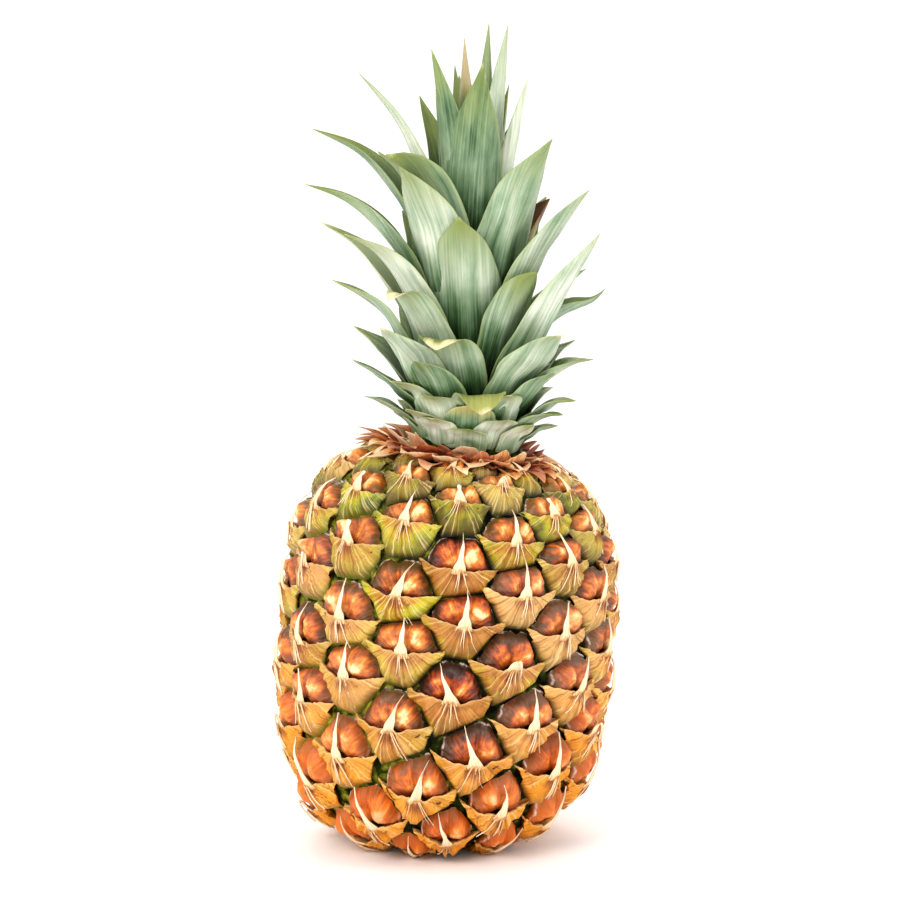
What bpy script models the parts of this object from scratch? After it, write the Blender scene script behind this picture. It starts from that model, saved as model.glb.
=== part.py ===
"""A whole pineapple standing on its base: the fruit with its eyes, the cut end of its stalk,
the collar of dry bracts under the crown, and the crown of stiff leaves.

Metres, +Z up. The camera side of the photograph is -Y, and +X is to its right. Each shape is made round an
upright axis, and bent() then leans the fruit's shoulders to +X, as they grew. The base is flat. Last, all
parts move so that the origin is the middle of the foot of their common box."""

import bisect
import math
import random

import bmesh
import bpy
from mathutils import Matrix, Vector

MM = 0.001
GAP = 0.3 * MM
WELD = 0.02 * MM

# The fruit's skin, measured in the grooves between the eyes: a barrel with rounded ends.
SKIN_RADIUS = 57.0 * MM
BELLY_HEIGHT = 80.0 * MM
BELOW_BELLY = 79.2 * MM
ABOVE_BELLY = 65.0 * MM
ROUNDING = 3.0
MERIDIAN_STEPS = 400

# How far the axis leans to +X at each height, in millimetres and degrees. The crown grows upright again.
AXIS_LEANS = ((0, 0), (147, 8), (172, 0), (320, 5))
AXIS_STEP = 1.0 * MM

# The eyes sit on one spiral, a golden angle apart, and 8 rows of them cross 13.
GOLDEN_ANGLE = math.pi * (3.0 - math.sqrt(5.0))
EIGHT_TURN = 8 * GOLDEN_ANGLE - 3 * 2.0 * math.pi
THIRTEEN_TURN = 13 * GOLDEN_ANGLE - 5 * 2.0 * math.pi
LOWEST_EYE = 5
EYE_COUNT = 117
EYE_AT_BELLY = 61.5
FIRST_EYE_TURN = math.radians(324.0)
EYE_STEP = 1.47 * MM
# How far one eye is above the last, along the skin, against the distance from the belly. Millimetres.
EYE_STEPS = (
    (-115, 0.9),
    (-100, 1.2),
    (-84, 1.6),
    (-60, 1.8),
    (-30, 1.52),
    (0, 1.45),
    (35, 1.31),
    (60, 1.1),
    (90, 0.8),
)
WALK_STEP = 0.1 * MM

# No fruit is quite regular: how far each of the 8 rows has slid round it, in degrees, and up it, in eyes.
ROW_SLIDES = ((0, 1.0), (-3, -2.5), (3, 2.0), (0, 0), (7, 0), (0, 0), (2, -1.5), (-2, -0.6))

# An eye's neighbours in turn round it, as steps of 8 and of 13. The grooves' corners lie between each two.
NEIGHBOURS = ((-1, 0), (0, 1), (1, 1), (1, 0), (0, -1), (-1, -1))
# How near the grooves an eye's relief may come, as a share of the way there.
GROOVE_SHARE = 0.9

# The points of one eye: across, up and out from the middle of the bract's upper edge, in millimetres.
EYE_RADIUS = 62.0 * MM
EYE_POINTS = {
    "left_wing": (-13.4, 2.8, 2.9),
    "left_edge": (-7.4, 1.0, 5.3),
    "tip_left": (-2.9, 0.2, 6.3),
    "tip_right": (2.9, -0.2, 6.3),
    "right_edge": (7.4, -0.6, 5.3),
    "right_wing": (13.4, 0.4, 2.9),
    "left_hinge": (-7.2, 1.9, 4.0),
    "hinge_left": (-2.5, 1.2, 4.6),
    "hinge_right": (2.5, 0.8, 4.6),
    "right_hinge": (7.2, 0.4, 4.0),
    "tip": (0.5, 13.4, 7.4),
    "left_rim": (-11.6, 6.4, 2.7),
    "left_top": (-5.2, 11.4, 3.0),
    "middle_top": (1.6, 12.2, 2.6),
    "right_top": (8.0, 10.2, 3.0),
    "right_rim": (12.2, 4.6, 2.7),
    "left_dome": (-5.6, 6.0, 5.4),
    "right_dome": (6.0, 5.2, 5.4),
    "valley": (0.3, 7.0, 4.6),
    "left_foot": (-8.8, -4.2, 3.0),
    "bottom_left": (-4.6, -9.6, 2.0),
    "bottom_right": (0.6, -10.8, 2.0),
    "right_foot": (7.6, -5.8, 3.0),
    "keel": (-0.4, -4.4, 5.2),
}
RIM = (
    "left_wing",
    "left_rim",
    "left_top",
    "middle_top",
    "right_top",
    "right_rim",
    "right_wing",
    "right_foot",
    "bottom_right",
    "bottom_left",
    "left_foot",
)
EYE_FACES = (
    ("left_wing", "left_foot", "left_edge"),
    ("left_edge", "left_foot", "keel"),
    ("left_edge", "keel", "tip_left"),
    ("tip_left", "keel", "tip_right"),
    ("tip_right", "keel", "right_edge"),
    ("right_edge", "keel", "right_foot"),
    ("right_edge", "right_foot", "right_wing"),
    ("keel", "left_foot", "bottom_left"),
    ("keel", "bottom_left", "bottom_right"),
    ("keel", "bottom_right", "right_foot"),
    ("left_wing", "left_edge", "left_hinge"),
    ("left_edge", "tip_left", "hinge_left", "left_hinge"),
    ("tip_right", "right_edge", "right_hinge", "hinge_right"),
    ("right_edge", "right_wing", "right_hinge"),
    ("tip_left", "tip_right", "tip"),
    ("tip_left", "tip", "hinge_left"),
    ("tip_right", "hinge_right", "tip"),
    ("hinge_left", "tip", "hinge_right"),
    ("hinge_left", "hinge_right", "valley"),
    ("left_dome", "left_wing", "left_hinge"),
    ("left_dome", "left_hinge", "hinge_left"),
    ("left_dome", "hinge_left", "valley"),
    ("left_dome", "valley", "middle_top"),
    ("left_dome", "middle_top", "left_top"),
    ("left_dome", "left_top", "left_rim"),
    ("left_dome", "left_rim", "left_wing"),
    ("right_dome", "right_hinge", "right_wing"),
    ("right_dome", "hinge_right", "right_hinge"),
    ("right_dome", "valley", "hinge_right"),
    ("right_dome", "middle_top", "valley"),
    ("right_dome", "right_top", "middle_top"),
    ("right_dome", "right_rim", "right_top"),
    ("right_dome", "right_wing", "right_rim"),
)

# The fruit's flesh below and above the eyes: a heel that it stands on, and a neck that the crown sits on.
HEEL_RADIUS = 20.0 * MM
HEEL_FOOT = -1.0 * MM
HEEL_TOP = 8.0 * MM
NECK_RADIUS = 25.6 * MM
NECK_FOOT = 134.0 * MM
NECK_TOP = 143.6 * MM
NECK_SIDES = 26

# The cut end of the stalk, in a socket in the fruit's heel.
STALK_RADIUS = 11.5 * MM
STALK_FOOT = 0.8 * MM
STALK_TOP = 9.0 * MM
STALK_SIDES = 24

# The collar: a low ring with dry bracts on the same spiral as the eyes. Each pair runs from the lowest bract
# to the highest.
COLLAR_INNER = 21.0 * MM
COLLAR_OUTER = 25.2 * MM
COLLAR_FOOT = NECK_TOP + GAP
COLLAR_SHOULDER = 146.3 * MM
COLLAR_TOP = 147.6 * MM
COLLAR_SIDES = 26
COLLAR_COUNT = 26
COLLAR_RADII = (24.4 * MM, 22.8 * MM)
COLLAR_HEIGHTS = (146.2 * MM, 147.8 * MM)
COLLAR_LEANS = (68, 48)
COLLAR_STRAIGHTENING = 8
COLLAR_LENGTHS = (13.0 * MM, 8.0 * MM)
COLLAR_SHARES = (0.75, 1.15)
COLLAR_WIDTH = 9.0 * MM
COLLAR_CHANNEL = 20
COLLAR_THICKNESS = 0.9 * MM
COLLAR_ROOT = 1.5 * MM
COLLAR_STATIONS = (0.0, 0.45, 1.0)

# The crown: leaves on one spiral, 5/13 of a turn apart, on a short stem.
STEM_FOOT = NECK_TOP + GAP
STEM_HEIGHT = 63.0 * MM
STEM_FOOT_RADIUS = 20.5 * MM
STEM_TOP_RADIUS = 3.0 * MM
STEM_TAPER = 1.2
STEM_SIDES = 20
STEM_RINGS = 6
LEAF_COUNT = 80
LEAF_TURN = 2.0 * math.pi * 5.0 / 13.0
LEAF_FOOT = 149.0 * MM
LEAF_TOP = 200.0 * MM
LEAF_THICKNESS = 0.9 * MM
LEAF_ROOT = 3.0 * MM
LEAF_BEND = 1.5
LEAF_SEED = 7
# How far a leaf may stray from its rule: degrees round the stem, a share of its length, degrees of lean.
STRAY_TURN = 4
STRAY_LENGTH = 0.08
STRAY_FOOT_LEAN = 2
STRAY_TIP_LEAN = 8
STRAY_SWAY = 10

# Leaf measures against the leaf's place on the stem, from 0 at the lowest to 1 at the heart, in millimetres
# and degrees.
LEAF_CLIMBS = ((0, 0), (0.16, 0.05), (0.33, 0.14), (0.5, 0.27), (0.7, 0.61), (0.85, 0.85), (1, 1))
LEAF_LENGTHS = (
    (0.0, 12),
    (0.16, 17),
    (0.33, 26),
    (0.45, 40),
    (0.55, 54),
    (0.66, 70),
    (0.8, 88),
    (0.86, 86),
    (1.0, 86),
)
LEAF_WIDTHS = ((0.0, 18), (0.25, 21), (0.45, 25), (0.65, 28), (0.78, 25), (0.88, 17), (1.0, 11))
LEAF_FOOT_LEANS = ((0.0, 52), (0.33, 38), (0.5, 27), (0.66, 16), (0.82, 8), (1.0, 3))
LEAF_TIP_LEANS = ((0.0, 70), (0.33, 84), (0.5, 70), (0.66, 56), (0.82, 36), (0.92, 18), (1.0, 6))
LEAF_CHANNELS = ((0.0, 4), (0.4, 12), (0.7, 20), (1.0, 30))
# The leaves that stand out: their number on the spiral, then turn, length, foot lean and tip lean.
LEAVES_SEEN = {
    11: (86, 15, 52, 84),
    15: (-84, 24, 48, 66),
    16: (62, 22, 46, 84),
    24: (80, 24, 46, 90),
    26: (6, 27, 34, 120),
    28: (-86, 34, 42, 70),
    33: (-110, 47, 34, 64),
    34: (42, 45, 34, 60),
    36: (-50, 42, 30, 66),
    37: (84, 34, 42, 98),
    39: (-18, 40, 24, 88),
    41: (-84, 58, 22, 66),
    42: (58, 72, 26, 44),
    44: (-36, 55, 24, 72),
    46: (-108, 74, 22, 68),
    47: (34, 50, 20, 46),
    49: (-62, 72, 18, 66),
    50: (86, 48, 34, 98),
    52: (-10, 61, 12, 40),
    54: (-86, 90, 16, 72),
    55: (64, 72, 20, 40),
    57: (-36, 80, 16, 58),
    58: (108, 58, 10, 36),
    59: (-108, 97, 12, 72),
    60: (35, 83, 14, 38),
    62: (-40, 98, 5, 94),
    63: (100, 68, 8, 28),
    66: (150, 74, 5, 24),
    65: (-9, 98, 6, 20),
    67: (-86, 102, 8, 43),
    68: (70, 90, 4, 19),
    70: (-34, 98, 5, 26),
    71: (112, 84, 2, 8),
    73: (50, 104, 2, 6),
    76: (84, 84, 1, 4),
    78: (-60, 95, 1, 5),
    79: (40, 100, 1, 1),
}
# A blade's width along its length, as a share of its full width.
BLADE_OUTLINE = (
    (0.0, 0.84),
    (0.15, 0.96),
    (0.32, 1.0),
    (0.55, 0.86),
    (0.75, 0.58),
    (0.90, 0.25),
    (1.0, 0.03),
)
# The longest blade that each row of stations along it is made for, in millimetres.
BLADE_STATIONS = (
    (18, (0.0, 0.5, 1.0)),
    (44, (0.0, 0.35, 0.7, 1.0)),
    (76, (0.0, 0.25, 0.5, 0.75, 1.0)),
    (200, (0.0, 0.2, 0.4, 0.6, 0.8, 1.0)),
)

# Base colour and roughness of each part, and the edge angle past which it is shaded sharp.
SHARP_ANGLE = math.radians(35.0)
COLOURS = {
    "fruit": ((0.72, 0.36, 0.14), 0.55),
    "stalk_end": ((0.55, 0.42, 0.26), 0.85),
    "collar_bracts": ((0.50, 0.24, 0.12), 0.75),
    "crown": ((0.24, 0.38, 0.20), 0.50),
}


def on_ladder(ladder, at):
    """The row of a ladder of numbers at a place in its first column, on straight lines between its rungs."""
    upper = min(max(bisect.bisect(ladder, (at,)), 1), len(ladder) - 1)
    low = ladder[upper - 1]
    high = ladder[upper]
    share = (at - low[0]) / (high[0] - low[0])
    return [first + (second - first) * share for first, second in zip(low, high)]


def value(table, at):
    """The value of a (place, value) table at a place, level beyond its ends."""
    return on_ladder(table, min(max(at, table[0][0]), table[-1][0]))[1]


def axis_ladder():
    """Rungs of height, x, z and lean along the axis."""
    rungs = []
    x = 0.0
    z = 0.0
    for step in range(int(AXIS_LEANS[-1][0] * MM / AXIS_STEP) + 1):
        height = step * AXIS_STEP
        lean = math.radians(value(AXIS_LEANS, height / MM))
        rungs.append((height, x, z, lean))
        x += AXIS_STEP * math.sin(lean)
        z += AXIS_STEP * math.cos(lean)
    return rungs


def meridian_ladder():
    """Rungs of distance along the skin from the belly, radius and height, from the base up."""
    outline = []
    for step in range(-MERIDIAN_STEPS, MERIDIAN_STEPS + 1):
        angle = 0.5 * math.pi * step / MERIDIAN_STEPS
        reach = ABOVE_BELLY if step > 0 else BELOW_BELLY
        radius = SKIN_RADIUS * abs(math.cos(angle)) ** (2.0 / ROUNDING)
        rise = reach * abs(math.sin(angle)) ** (2.0 / ROUNDING)
        outline.append((radius, BELLY_HEIGHT + math.copysign(rise, step)))
    distances = [0.0]
    for first, second in zip(outline, outline[1:]):
        distances.append(distances[-1] + math.dist(first, second))
    belly = distances[MERIDIAN_STEPS]
    return [(distance - belly, *point) for distance, point in zip(distances, outline)]


def index_ladder(meridian):
    """Rungs of place on the eyes' spiral and distance along the skin."""
    rungs = []
    for direction, end in ((-1, meridian[0][0]), (1, meridian[-1][0])):
        index = EYE_AT_BELLY
        distance = 0.0
        while direction * distance < direction * end:
            rungs.append((index, distance))
            distance += direction * WALK_STEP
            index += direction * WALK_STEP / (value(EYE_STEPS, distance / MM) * MM)
    return sorted(set(rungs))


AXIS = axis_ladder()
MERIDIAN = meridian_ladder()
INDICES = index_ladder(MERIDIAN)


def bent(point):
    """A point of the upright plant, where the leaning axis takes it."""
    if point.z < 0.0:
        return point.copy()
    height, x, z, lean = on_ladder(AXIS, point.z)
    return Vector((x + point.x * math.cos(lean), point.y, z - point.x * math.sin(lean)))


def skin_point(turn, index, rise):
    """A point of the upright fruit, out from its skin by a rise that shrinks with the eyes."""
    distance = on_ladder(INDICES, index)[1]
    radius, height = on_ladder(MERIDIAN, distance)[1:]
    ahead = on_ladder(MERIDIAN, distance + WALK_STEP)[1:]
    behind = on_ladder(MERIDIAN, distance - WALK_STEP)[1:]
    along = Vector((ahead[0] - behind[0], ahead[1] - behind[1])).normalized()
    size = math.sqrt(radius / SKIN_RADIUS * value(EYE_STEPS, distance / MM) * MM / EYE_STEP)
    radius += along.y * rise * size
    height -= along.x * rise * size
    return Vector((radius * math.sin(turn), -radius * math.cos(turn), height))


def stack_of_rings(outline, sides):
    """A bmesh of rings round the leaning axis, one for each (radius, height) of an outline, and the rings."""
    shape = bmesh.new()
    rings = []
    for radius, height in outline:
        ring = []
        for side in range(sides):
            turn = 2.0 * math.pi * side / sides
            point = Vector((radius * math.sin(turn), -radius * math.cos(turn), height))
            ring.append(shape.verts.new(bent(point)))
        rings.append(ring)
    for low, high in zip(rings, rings[1:]):
        for side in range(sides):
            following = (side + 1) % sides
            shape.faces.new((low[side], low[following], high[following], high[side]))
    return shape, rings


def named_collection(name):
    collection = bpy.data.collections.new(name)
    bpy.context.scene.collection.children.link(collection)
    return collection


def object_from(name, shape, collection):
    """Turns a bmesh into an object, and frees it."""
    mesh = bpy.data.meshes.new(name)
    shape.to_mesh(mesh)
    shape.free()
    obj = bpy.data.objects.new(name, mesh)
    collection.objects.link(obj)
    return obj


def apply_modifiers(obj):
    """Replaces an object's mesh with the one its modifiers make."""
    graph = bpy.context.evaluated_depsgraph_get()
    made = bpy.data.meshes.new_from_object(obj.evaluated_get(graph))
    obj.modifiers.clear()
    obj.data = made


def combine(obj, helpers, operation, solver="EXACT"):
    """Joins a collection of objects to this one, or cuts them from it, and removes them."""
    boolean = obj.modifiers.new(operation.lower(), "BOOLEAN")
    boolean.operation = operation
    boolean.operand_type = "COLLECTION"
    boolean.collection = helpers
    boolean.solver = solver
    apply_modifiers(obj)
    for helper in list(helpers.objects):
        bpy.data.objects.remove(helper)
    bpy.data.collections.remove(helpers)
    drop_scraps(obj)


def drop_scraps(obj):
    """Keeps the largest piece of a mesh."""
    shape = bmesh.new()
    shape.from_mesh(obj.data)
    left = set(shape.verts)
    pieces = []
    while left:
        piece = set()
        reached = [left.pop()]
        while reached:
            vertex = reached.pop()
            piece.add(vertex)
            beside = {edge.other_vert(vertex) for edge in vertex.link_edges} & left
            left -= beside
            reached += beside
        pieces.append(piece)
    largest = max(pieces, key=len)
    scraps = [vertex for vertex in shape.verts if vertex not in largest]
    bmesh.ops.delete(shape, geom=scraps, context="VERTS")
    shape.to_mesh(obj.data)
    shape.free()


def cylinder(radius, foot, top, sides):
    """An upright cylinder as a bmesh."""
    shape = bmesh.new()
    bmesh.ops.create_cone(
        shape,
        cap_ends=True,
        segments=sides,
        radius1=radius,
        radius2=radius,
        depth=top - foot,
        matrix=Matrix.Translation((0.0, 0.0, 0.5 * (foot + top))),
    )
    return shape


def close_ends(shape, rings):
    """Caps on the lowest and highest of a stack of rings."""
    shape.faces.new(rings[0])
    shape.faces.new(rings[-1])
    bmesh.ops.recalc_face_normals(shape, faces=shape.faces)


def eye_place(number, eights=0, thirteens=0):
    """The turn and the place on the spiral of the eye that is this many steps of 8 and 13 further on."""
    other = number + 8 * eights + 13 * thirteens
    slide, climb = ROW_SLIDES[other % 8]
    turn = FIRST_EYE_TURN + GOLDEN_ANGLE * number + eights * EIGHT_TURN + thirteens * THIRTEEN_TURN
    return Vector((turn + math.radians(slide), other + climb))


def groove_corner(places):
    """The point as far from each of three eyes, or midway along their longest side if that is nearer."""
    middle = sum(places, Vector((0.0, 0.0))) / 3.0
    distance = on_ladder(INDICES, middle.y)[1]
    scale = Vector((on_ladder(MERIDIAN, distance)[1], value(EYE_STEPS, distance / MM) * MM))
    sides = [((places[i - 1] - places[i - 2]) * scale).length_squared for i in range(3)]
    weights = [side * (sum(sides) - 2.0 * side) for side in sides]
    if min(weights) <= 0.0:
        weights = [0.0 if weight == min(weights) else 1.0 for weight in weights]
    weighted = [place * weight for place, weight in zip(places, weights)]
    return sum(weighted, Vector((0.0, 0.0))) / sum(weights)


def inside(point, corners):
    """A point of an eye, drawn in towards the eye's middle where it would come too near the grooves."""
    for first, second in zip(corners, corners[1:] + corners[:1]):
        across = first.cross(second)
        shares = (point.cross(second) / across, first.cross(point) / across) if across else (-1.0, -1.0)
        if min(shares) >= 0.0 and sum(shares) > GROOVE_SHARE:
            return point * GROOVE_SHARE / sum(shares)
    return point


def bearing(point):
    """The direction of a point from its eye's middle."""
    return math.atan2(point.x * EYE_RADIUS, point.y * EYE_STEP)


def bridge(shape, outer, inner):
    """Triangles between two rings of (bearing, vertex) that both run once round the same middle."""
    order = [(place, 0, vertex) for place, vertex in outer] + [(place, 1, vertex) for place, vertex in inner]
    order.sort(key=lambda row: row[:2])
    last = {ring: vertex for _, ring, vertex in order}
    for _, ring, vertex in order:
        shape.faces.new((last[0], last[1], vertex))
        last[ring] = vertex


def eye(skin, number):
    """One eye: the points in the groove round it, then its bract, tip and dome."""
    middle = eye_place(number)
    corners = []
    for steps in zip(NEIGHBOURS, NEIGHBOURS[1:] + NEIGHBOURS[:1]):
        corners.append(groove_corner([middle, *(eye_place(number, *step) for step in steps)]) - middle)
    ring = [(bearing(corner), skin.verts.new(skin_point(*(middle + corner), 0.0))) for corner in corners]
    points = {}
    rim = []
    for name, (across, up, out) in EYE_POINTS.items():
        place = inside(Vector((across * MM / EYE_RADIUS, up * MM / EYE_STEP)), corners)
        points[name] = skin.verts.new(skin_point(*(middle + place), out * MM))
        if name in RIM:
            rim.append((bearing(place), points[name]))
    for names in EYE_FACES:
        skin.faces.new([points[name] for name in names])
    bridge(skin, ring, rim)


def fruit(parts):
    """The eyes, joined in their grooves, with a heel and a neck, cut flat underneath."""
    skin = bmesh.new()
    for number in range(LOWEST_EYE, EYE_COUNT):
        eye(skin, number)
    bmesh.ops.remove_doubles(skin, verts=skin.verts, dist=WELD)
    poles = {False: skin.verts.new((0.0, 0.0, 0.0)), True: skin.verts.new((0.0, 0.0, NECK_TOP - GAP))}
    for edge in [edge for edge in skin.edges if edge.is_boundary]:
        pole = poles[edge.verts[0].co.z > BELLY_HEIGHT]
        skin.faces.new((edge.verts[0], edge.verts[1], pole))
    bmesh.ops.recalc_face_normals(skin, faces=skin.faces)
    for vertex in skin.verts:
        vertex.co = bent(vertex.co)
    obj = object_from("fruit", skin, parts)
    flesh = named_collection("flesh")
    object_from("heel", cylinder(HEEL_RADIUS, HEEL_FOOT, HEEL_TOP, STALK_SIDES), flesh)
    neck, rings = stack_of_rings(((NECK_RADIUS, NECK_FOOT), (NECK_RADIUS, NECK_TOP)), NECK_SIDES)
    close_ends(neck, rings)
    object_from("neck", neck, flesh)
    combine(obj, flesh, "UNION")
    cutters = named_collection("cutters")
    object_from("socket", cylinder(STALK_RADIUS + GAP, -STALK_TOP, STALK_TOP + GAP, STALK_SIDES), cutters)
    object_from("floor", cylinder(2.0 * SKIN_RADIUS, -SKIN_RADIUS, 0.0, STALK_SIDES), cutters)
    combine(obj, cutters, "DIFFERENCE")
    return obj


def stalk_end(parts):
    """The cut end of the stalk."""
    return object_from("stalk_end", cylinder(STALK_RADIUS, STALK_FOOT, STALK_TOP, STALK_SIDES), parts)


def blade(turn, radius, foot, length, width, leans, channel, thickness, root, stations, sway=0.0):
    """One thin pointed blade that leaves the axis at a foot, leans out from it and wraps round it."""
    shape = bmesh.new()
    outward = Vector((math.sin(turn), -math.cos(turn), 0.0))
    right = Vector((math.cos(turn), math.sin(turn), 0.0))
    lean = math.radians(leans[0])
    place = outward * (radius - root * math.sin(lean)) + Vector((0.0, 0.0, foot - root * math.cos(lean)))
    rings = []
    for share, following in zip(stations, stations[1:] + (1.0,)):
        lean = math.radians(leans[0] + (leans[1] - leans[0]) * share**LEAF_BEND)
        swing = sway * share**LEAF_BEND
        along = outward * math.sin(lean) + Vector((0.0, 0.0, math.cos(lean)))
        along = along * math.cos(swing) + right * math.sin(swing)
        under = outward * math.cos(lean) - Vector((0.0, 0.0, math.sin(lean)))
        side = along.cross(under)
        half = 0.5 * width * value(BLADE_OUTLINE, share)
        wrap = 0.5 * half * max(math.cos(lean), 0.0) / max(place.xy.length, half)
        fold = max(wrap, math.radians(channel))
        reach = side * half * math.cos(fold)
        rise = under * half * math.sin(fold)
        skin = under * 0.5 * thickness
        edges = [place - reach - rise, place, place + reach - rise]
        rings.append([shape.verts.new(bent(point + offset)) for offset in (skin, -skin) for point in edges])
        place = place + along * (length + root) * (following - share)
    for ring, ahead in zip(rings, rings[1:]):
        for low, high in ((0, 1), (1, 2), (4, 3), (5, 4)):
            shape.faces.new((ring[low], ring[high], ahead[high]))
            shape.faces.new((ring[low], ahead[high], ahead[low]))
        for low, high in ((2, 5), (3, 0)):
            shape.faces.new((ring[low], ring[high], ahead[high], ahead[low]))
    for ring in (rings[0], rings[-1]):
        for low, high in ((0, 1), (1, 2)):
            shape.faces.new((ring[low], ring[high], ring[high + 3], ring[low + 3]))
    bmesh.ops.recalc_face_normals(shape, faces=shape.faces)
    return shape


def collar_bracts(parts):
    """A low ring with dry bracts round it."""
    outline = (
        (COLLAR_INNER, COLLAR_FOOT),
        (COLLAR_OUTER, COLLAR_FOOT),
        (COLLAR_OUTER, COLLAR_SHOULDER),
        (COLLAR_INNER, COLLAR_TOP),
        (COLLAR_INNER, COLLAR_FOOT),
    )
    ring, _ = stack_of_rings(outline, COLLAR_SIDES)
    bmesh.ops.remove_doubles(ring, verts=ring.verts, dist=WELD)
    bmesh.ops.recalc_face_normals(ring, faces=ring.faces)
    obj = object_from("collar_bracts", ring, parts)
    blades = named_collection("blades")
    chance = random.Random(LEAF_SEED)
    for number in range(COLLAR_COUNT):
        share = number / (COLLAR_COUNT - 1)
        lows, highs = zip(COLLAR_RADII, COLLAR_HEIGHTS, COLLAR_LEANS, COLLAR_LENGTHS)
        radius, foot, lean, length = (low + (high - low) * share for low, high in zip(lows, highs))
        shape = blade(
            FIRST_EYE_TURN + GOLDEN_ANGLE * (EYE_COUNT + number),
            radius,
            foot,
            length * chance.uniform(*COLLAR_SHARES),
            COLLAR_WIDTH,
            (lean, lean - COLLAR_STRAIGHTENING),
            COLLAR_CHANNEL,
            COLLAR_THICKNESS,
            COLLAR_ROOT,
            COLLAR_STATIONS,
        )
        object_from("blade", shape, blades)
    combine(obj, blades, "UNION", "MANIFOLD")
    return obj


def leaf(number, chance):
    """One leaf of the crown, by the rule for its place, or by its own measures."""
    share = number / (LEAF_COUNT - 1)
    turn = math.degrees(LEAF_TURN) * number + chance.uniform(-STRAY_TURN, STRAY_TURN)
    length = value(LEAF_LENGTHS, share) * chance.uniform(1.0 - STRAY_LENGTH, 1.0 + STRAY_LENGTH)
    foot_lean = value(LEAF_FOOT_LEANS, share) + chance.uniform(-STRAY_FOOT_LEAN, STRAY_FOOT_LEAN)
    tip_lean = value(LEAF_TIP_LEANS, share) + chance.uniform(-STRAY_TIP_LEAN, STRAY_TIP_LEAN)
    sway = math.radians(chance.uniform(-STRAY_SWAY, STRAY_SWAY)) * share
    if number in LEAVES_SEEN:
        turn, length, foot_lean, tip_lean = LEAVES_SEEN[number]
    foot = LEAF_FOOT + (LEAF_TOP - LEAF_FOOT) * value(LEAF_CLIMBS, share)
    stations = next(row for longest, row in BLADE_STATIONS if length <= longest)
    return blade(
        math.radians(turn),
        stem_radius((foot - STEM_FOOT) / STEM_HEIGHT),
        foot,
        length * MM,
        value(LEAF_WIDTHS, share) * MM,
        (foot_lean, tip_lean),
        value(LEAF_CHANNELS, share),
        LEAF_THICKNESS,
        LEAF_ROOT,
        stations,
        sway,
    )


def stem_radius(share):
    """The radius of the crown's stem at a share of its height."""
    return STEM_FOOT_RADIUS + (STEM_TOP_RADIUS - STEM_FOOT_RADIUS) * share**STEM_TAPER


def crown(parts):
    """A short stem with its spiral of leaves."""
    shares = [step / STEM_RINGS for step in range(STEM_RINGS + 1)]
    outline = [(stem_radius(share), STEM_FOOT + STEM_HEIGHT * share) for share in shares]
    stem, rings = stack_of_rings(outline, STEM_SIDES)
    close_ends(stem, rings)
    obj = object_from("crown", stem, parts)
    leaves = named_collection("leaves")
    chance = random.Random(LEAF_SEED)
    for number in range(LEAF_COUNT):
        object_from("leaf", leaf(number, chance), leaves)
    combine(obj, leaves, "UNION", "MANIFOLD")
    return obj


def finish(obj):
    """Gives a part its material and its soft and sharp edges."""
    colour, roughness = COLOURS[obj.name]
    material = bpy.data.materials.new(obj.name)
    material.use_nodes = True
    shader = material.node_tree.nodes["Principled BSDF"]
    shader.inputs["Base Color"].default_value = (*colour, 1.0)
    shader.inputs["Roughness"].default_value = roughness
    obj.data.materials.clear()
    obj.data.materials.append(material)
    obj.data.shade_smooth()
    obj.data.set_sharp_from_angle(angle=SHARP_ANGLE)
    print(obj.name, len(obj.data.polygons), "faces")


def centre(parts):
    """Moves all parts so that the origin is the middle of the foot of their common box."""
    points = [vertex.co for obj in parts.objects for vertex in obj.data.vertices]
    lows, highs = ([pick(point[side] for point in points) for side in range(3)] for pick in (min, max))
    middle = Vector((0.5 * (lows[0] + highs[0]), 0.5 * (lows[1] + highs[1]), lows[2]))
    for obj in parts.objects:
        obj.data.transform(Matrix.Translation(-middle))
    print("moved by", *(round(-side / MM, 3) for side in middle), "mm")


def main():
    for obj in list(bpy.data.objects):
        bpy.data.objects.remove(obj)
    parts = named_collection("pineapple")
    for make in (fruit, stalk_end, collar_bracts, crown):
        finish(make(parts))
    centre(parts)


if __name__ == "__main__":
    main()
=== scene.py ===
# %% [markdown]
# # A whole pineapple
# A pineapple is a whole flower head that swelled into one fruit. Each "eye" of the rind was a flower: a soft
# dome that was its closed cup, and under it the leaf that carried it, the bract, whose dry tip stands over
# the dome. The eyes sit on one spiral, a golden angle apart, and so do the dry bracts of the collar and the
# stiff leaves of the crown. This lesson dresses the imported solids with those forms: it sculpts a few eyes
# flat, lets Geometry Nodes wrap a copy of one round the fruit at every place on the spiral, and lofts each
# leaf along the same line as its solid.

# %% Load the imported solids
import bisect
import math
import random

import bmesh
import bpy
import numpy as np
from mathutils import Matrix, Vector, noise


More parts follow.
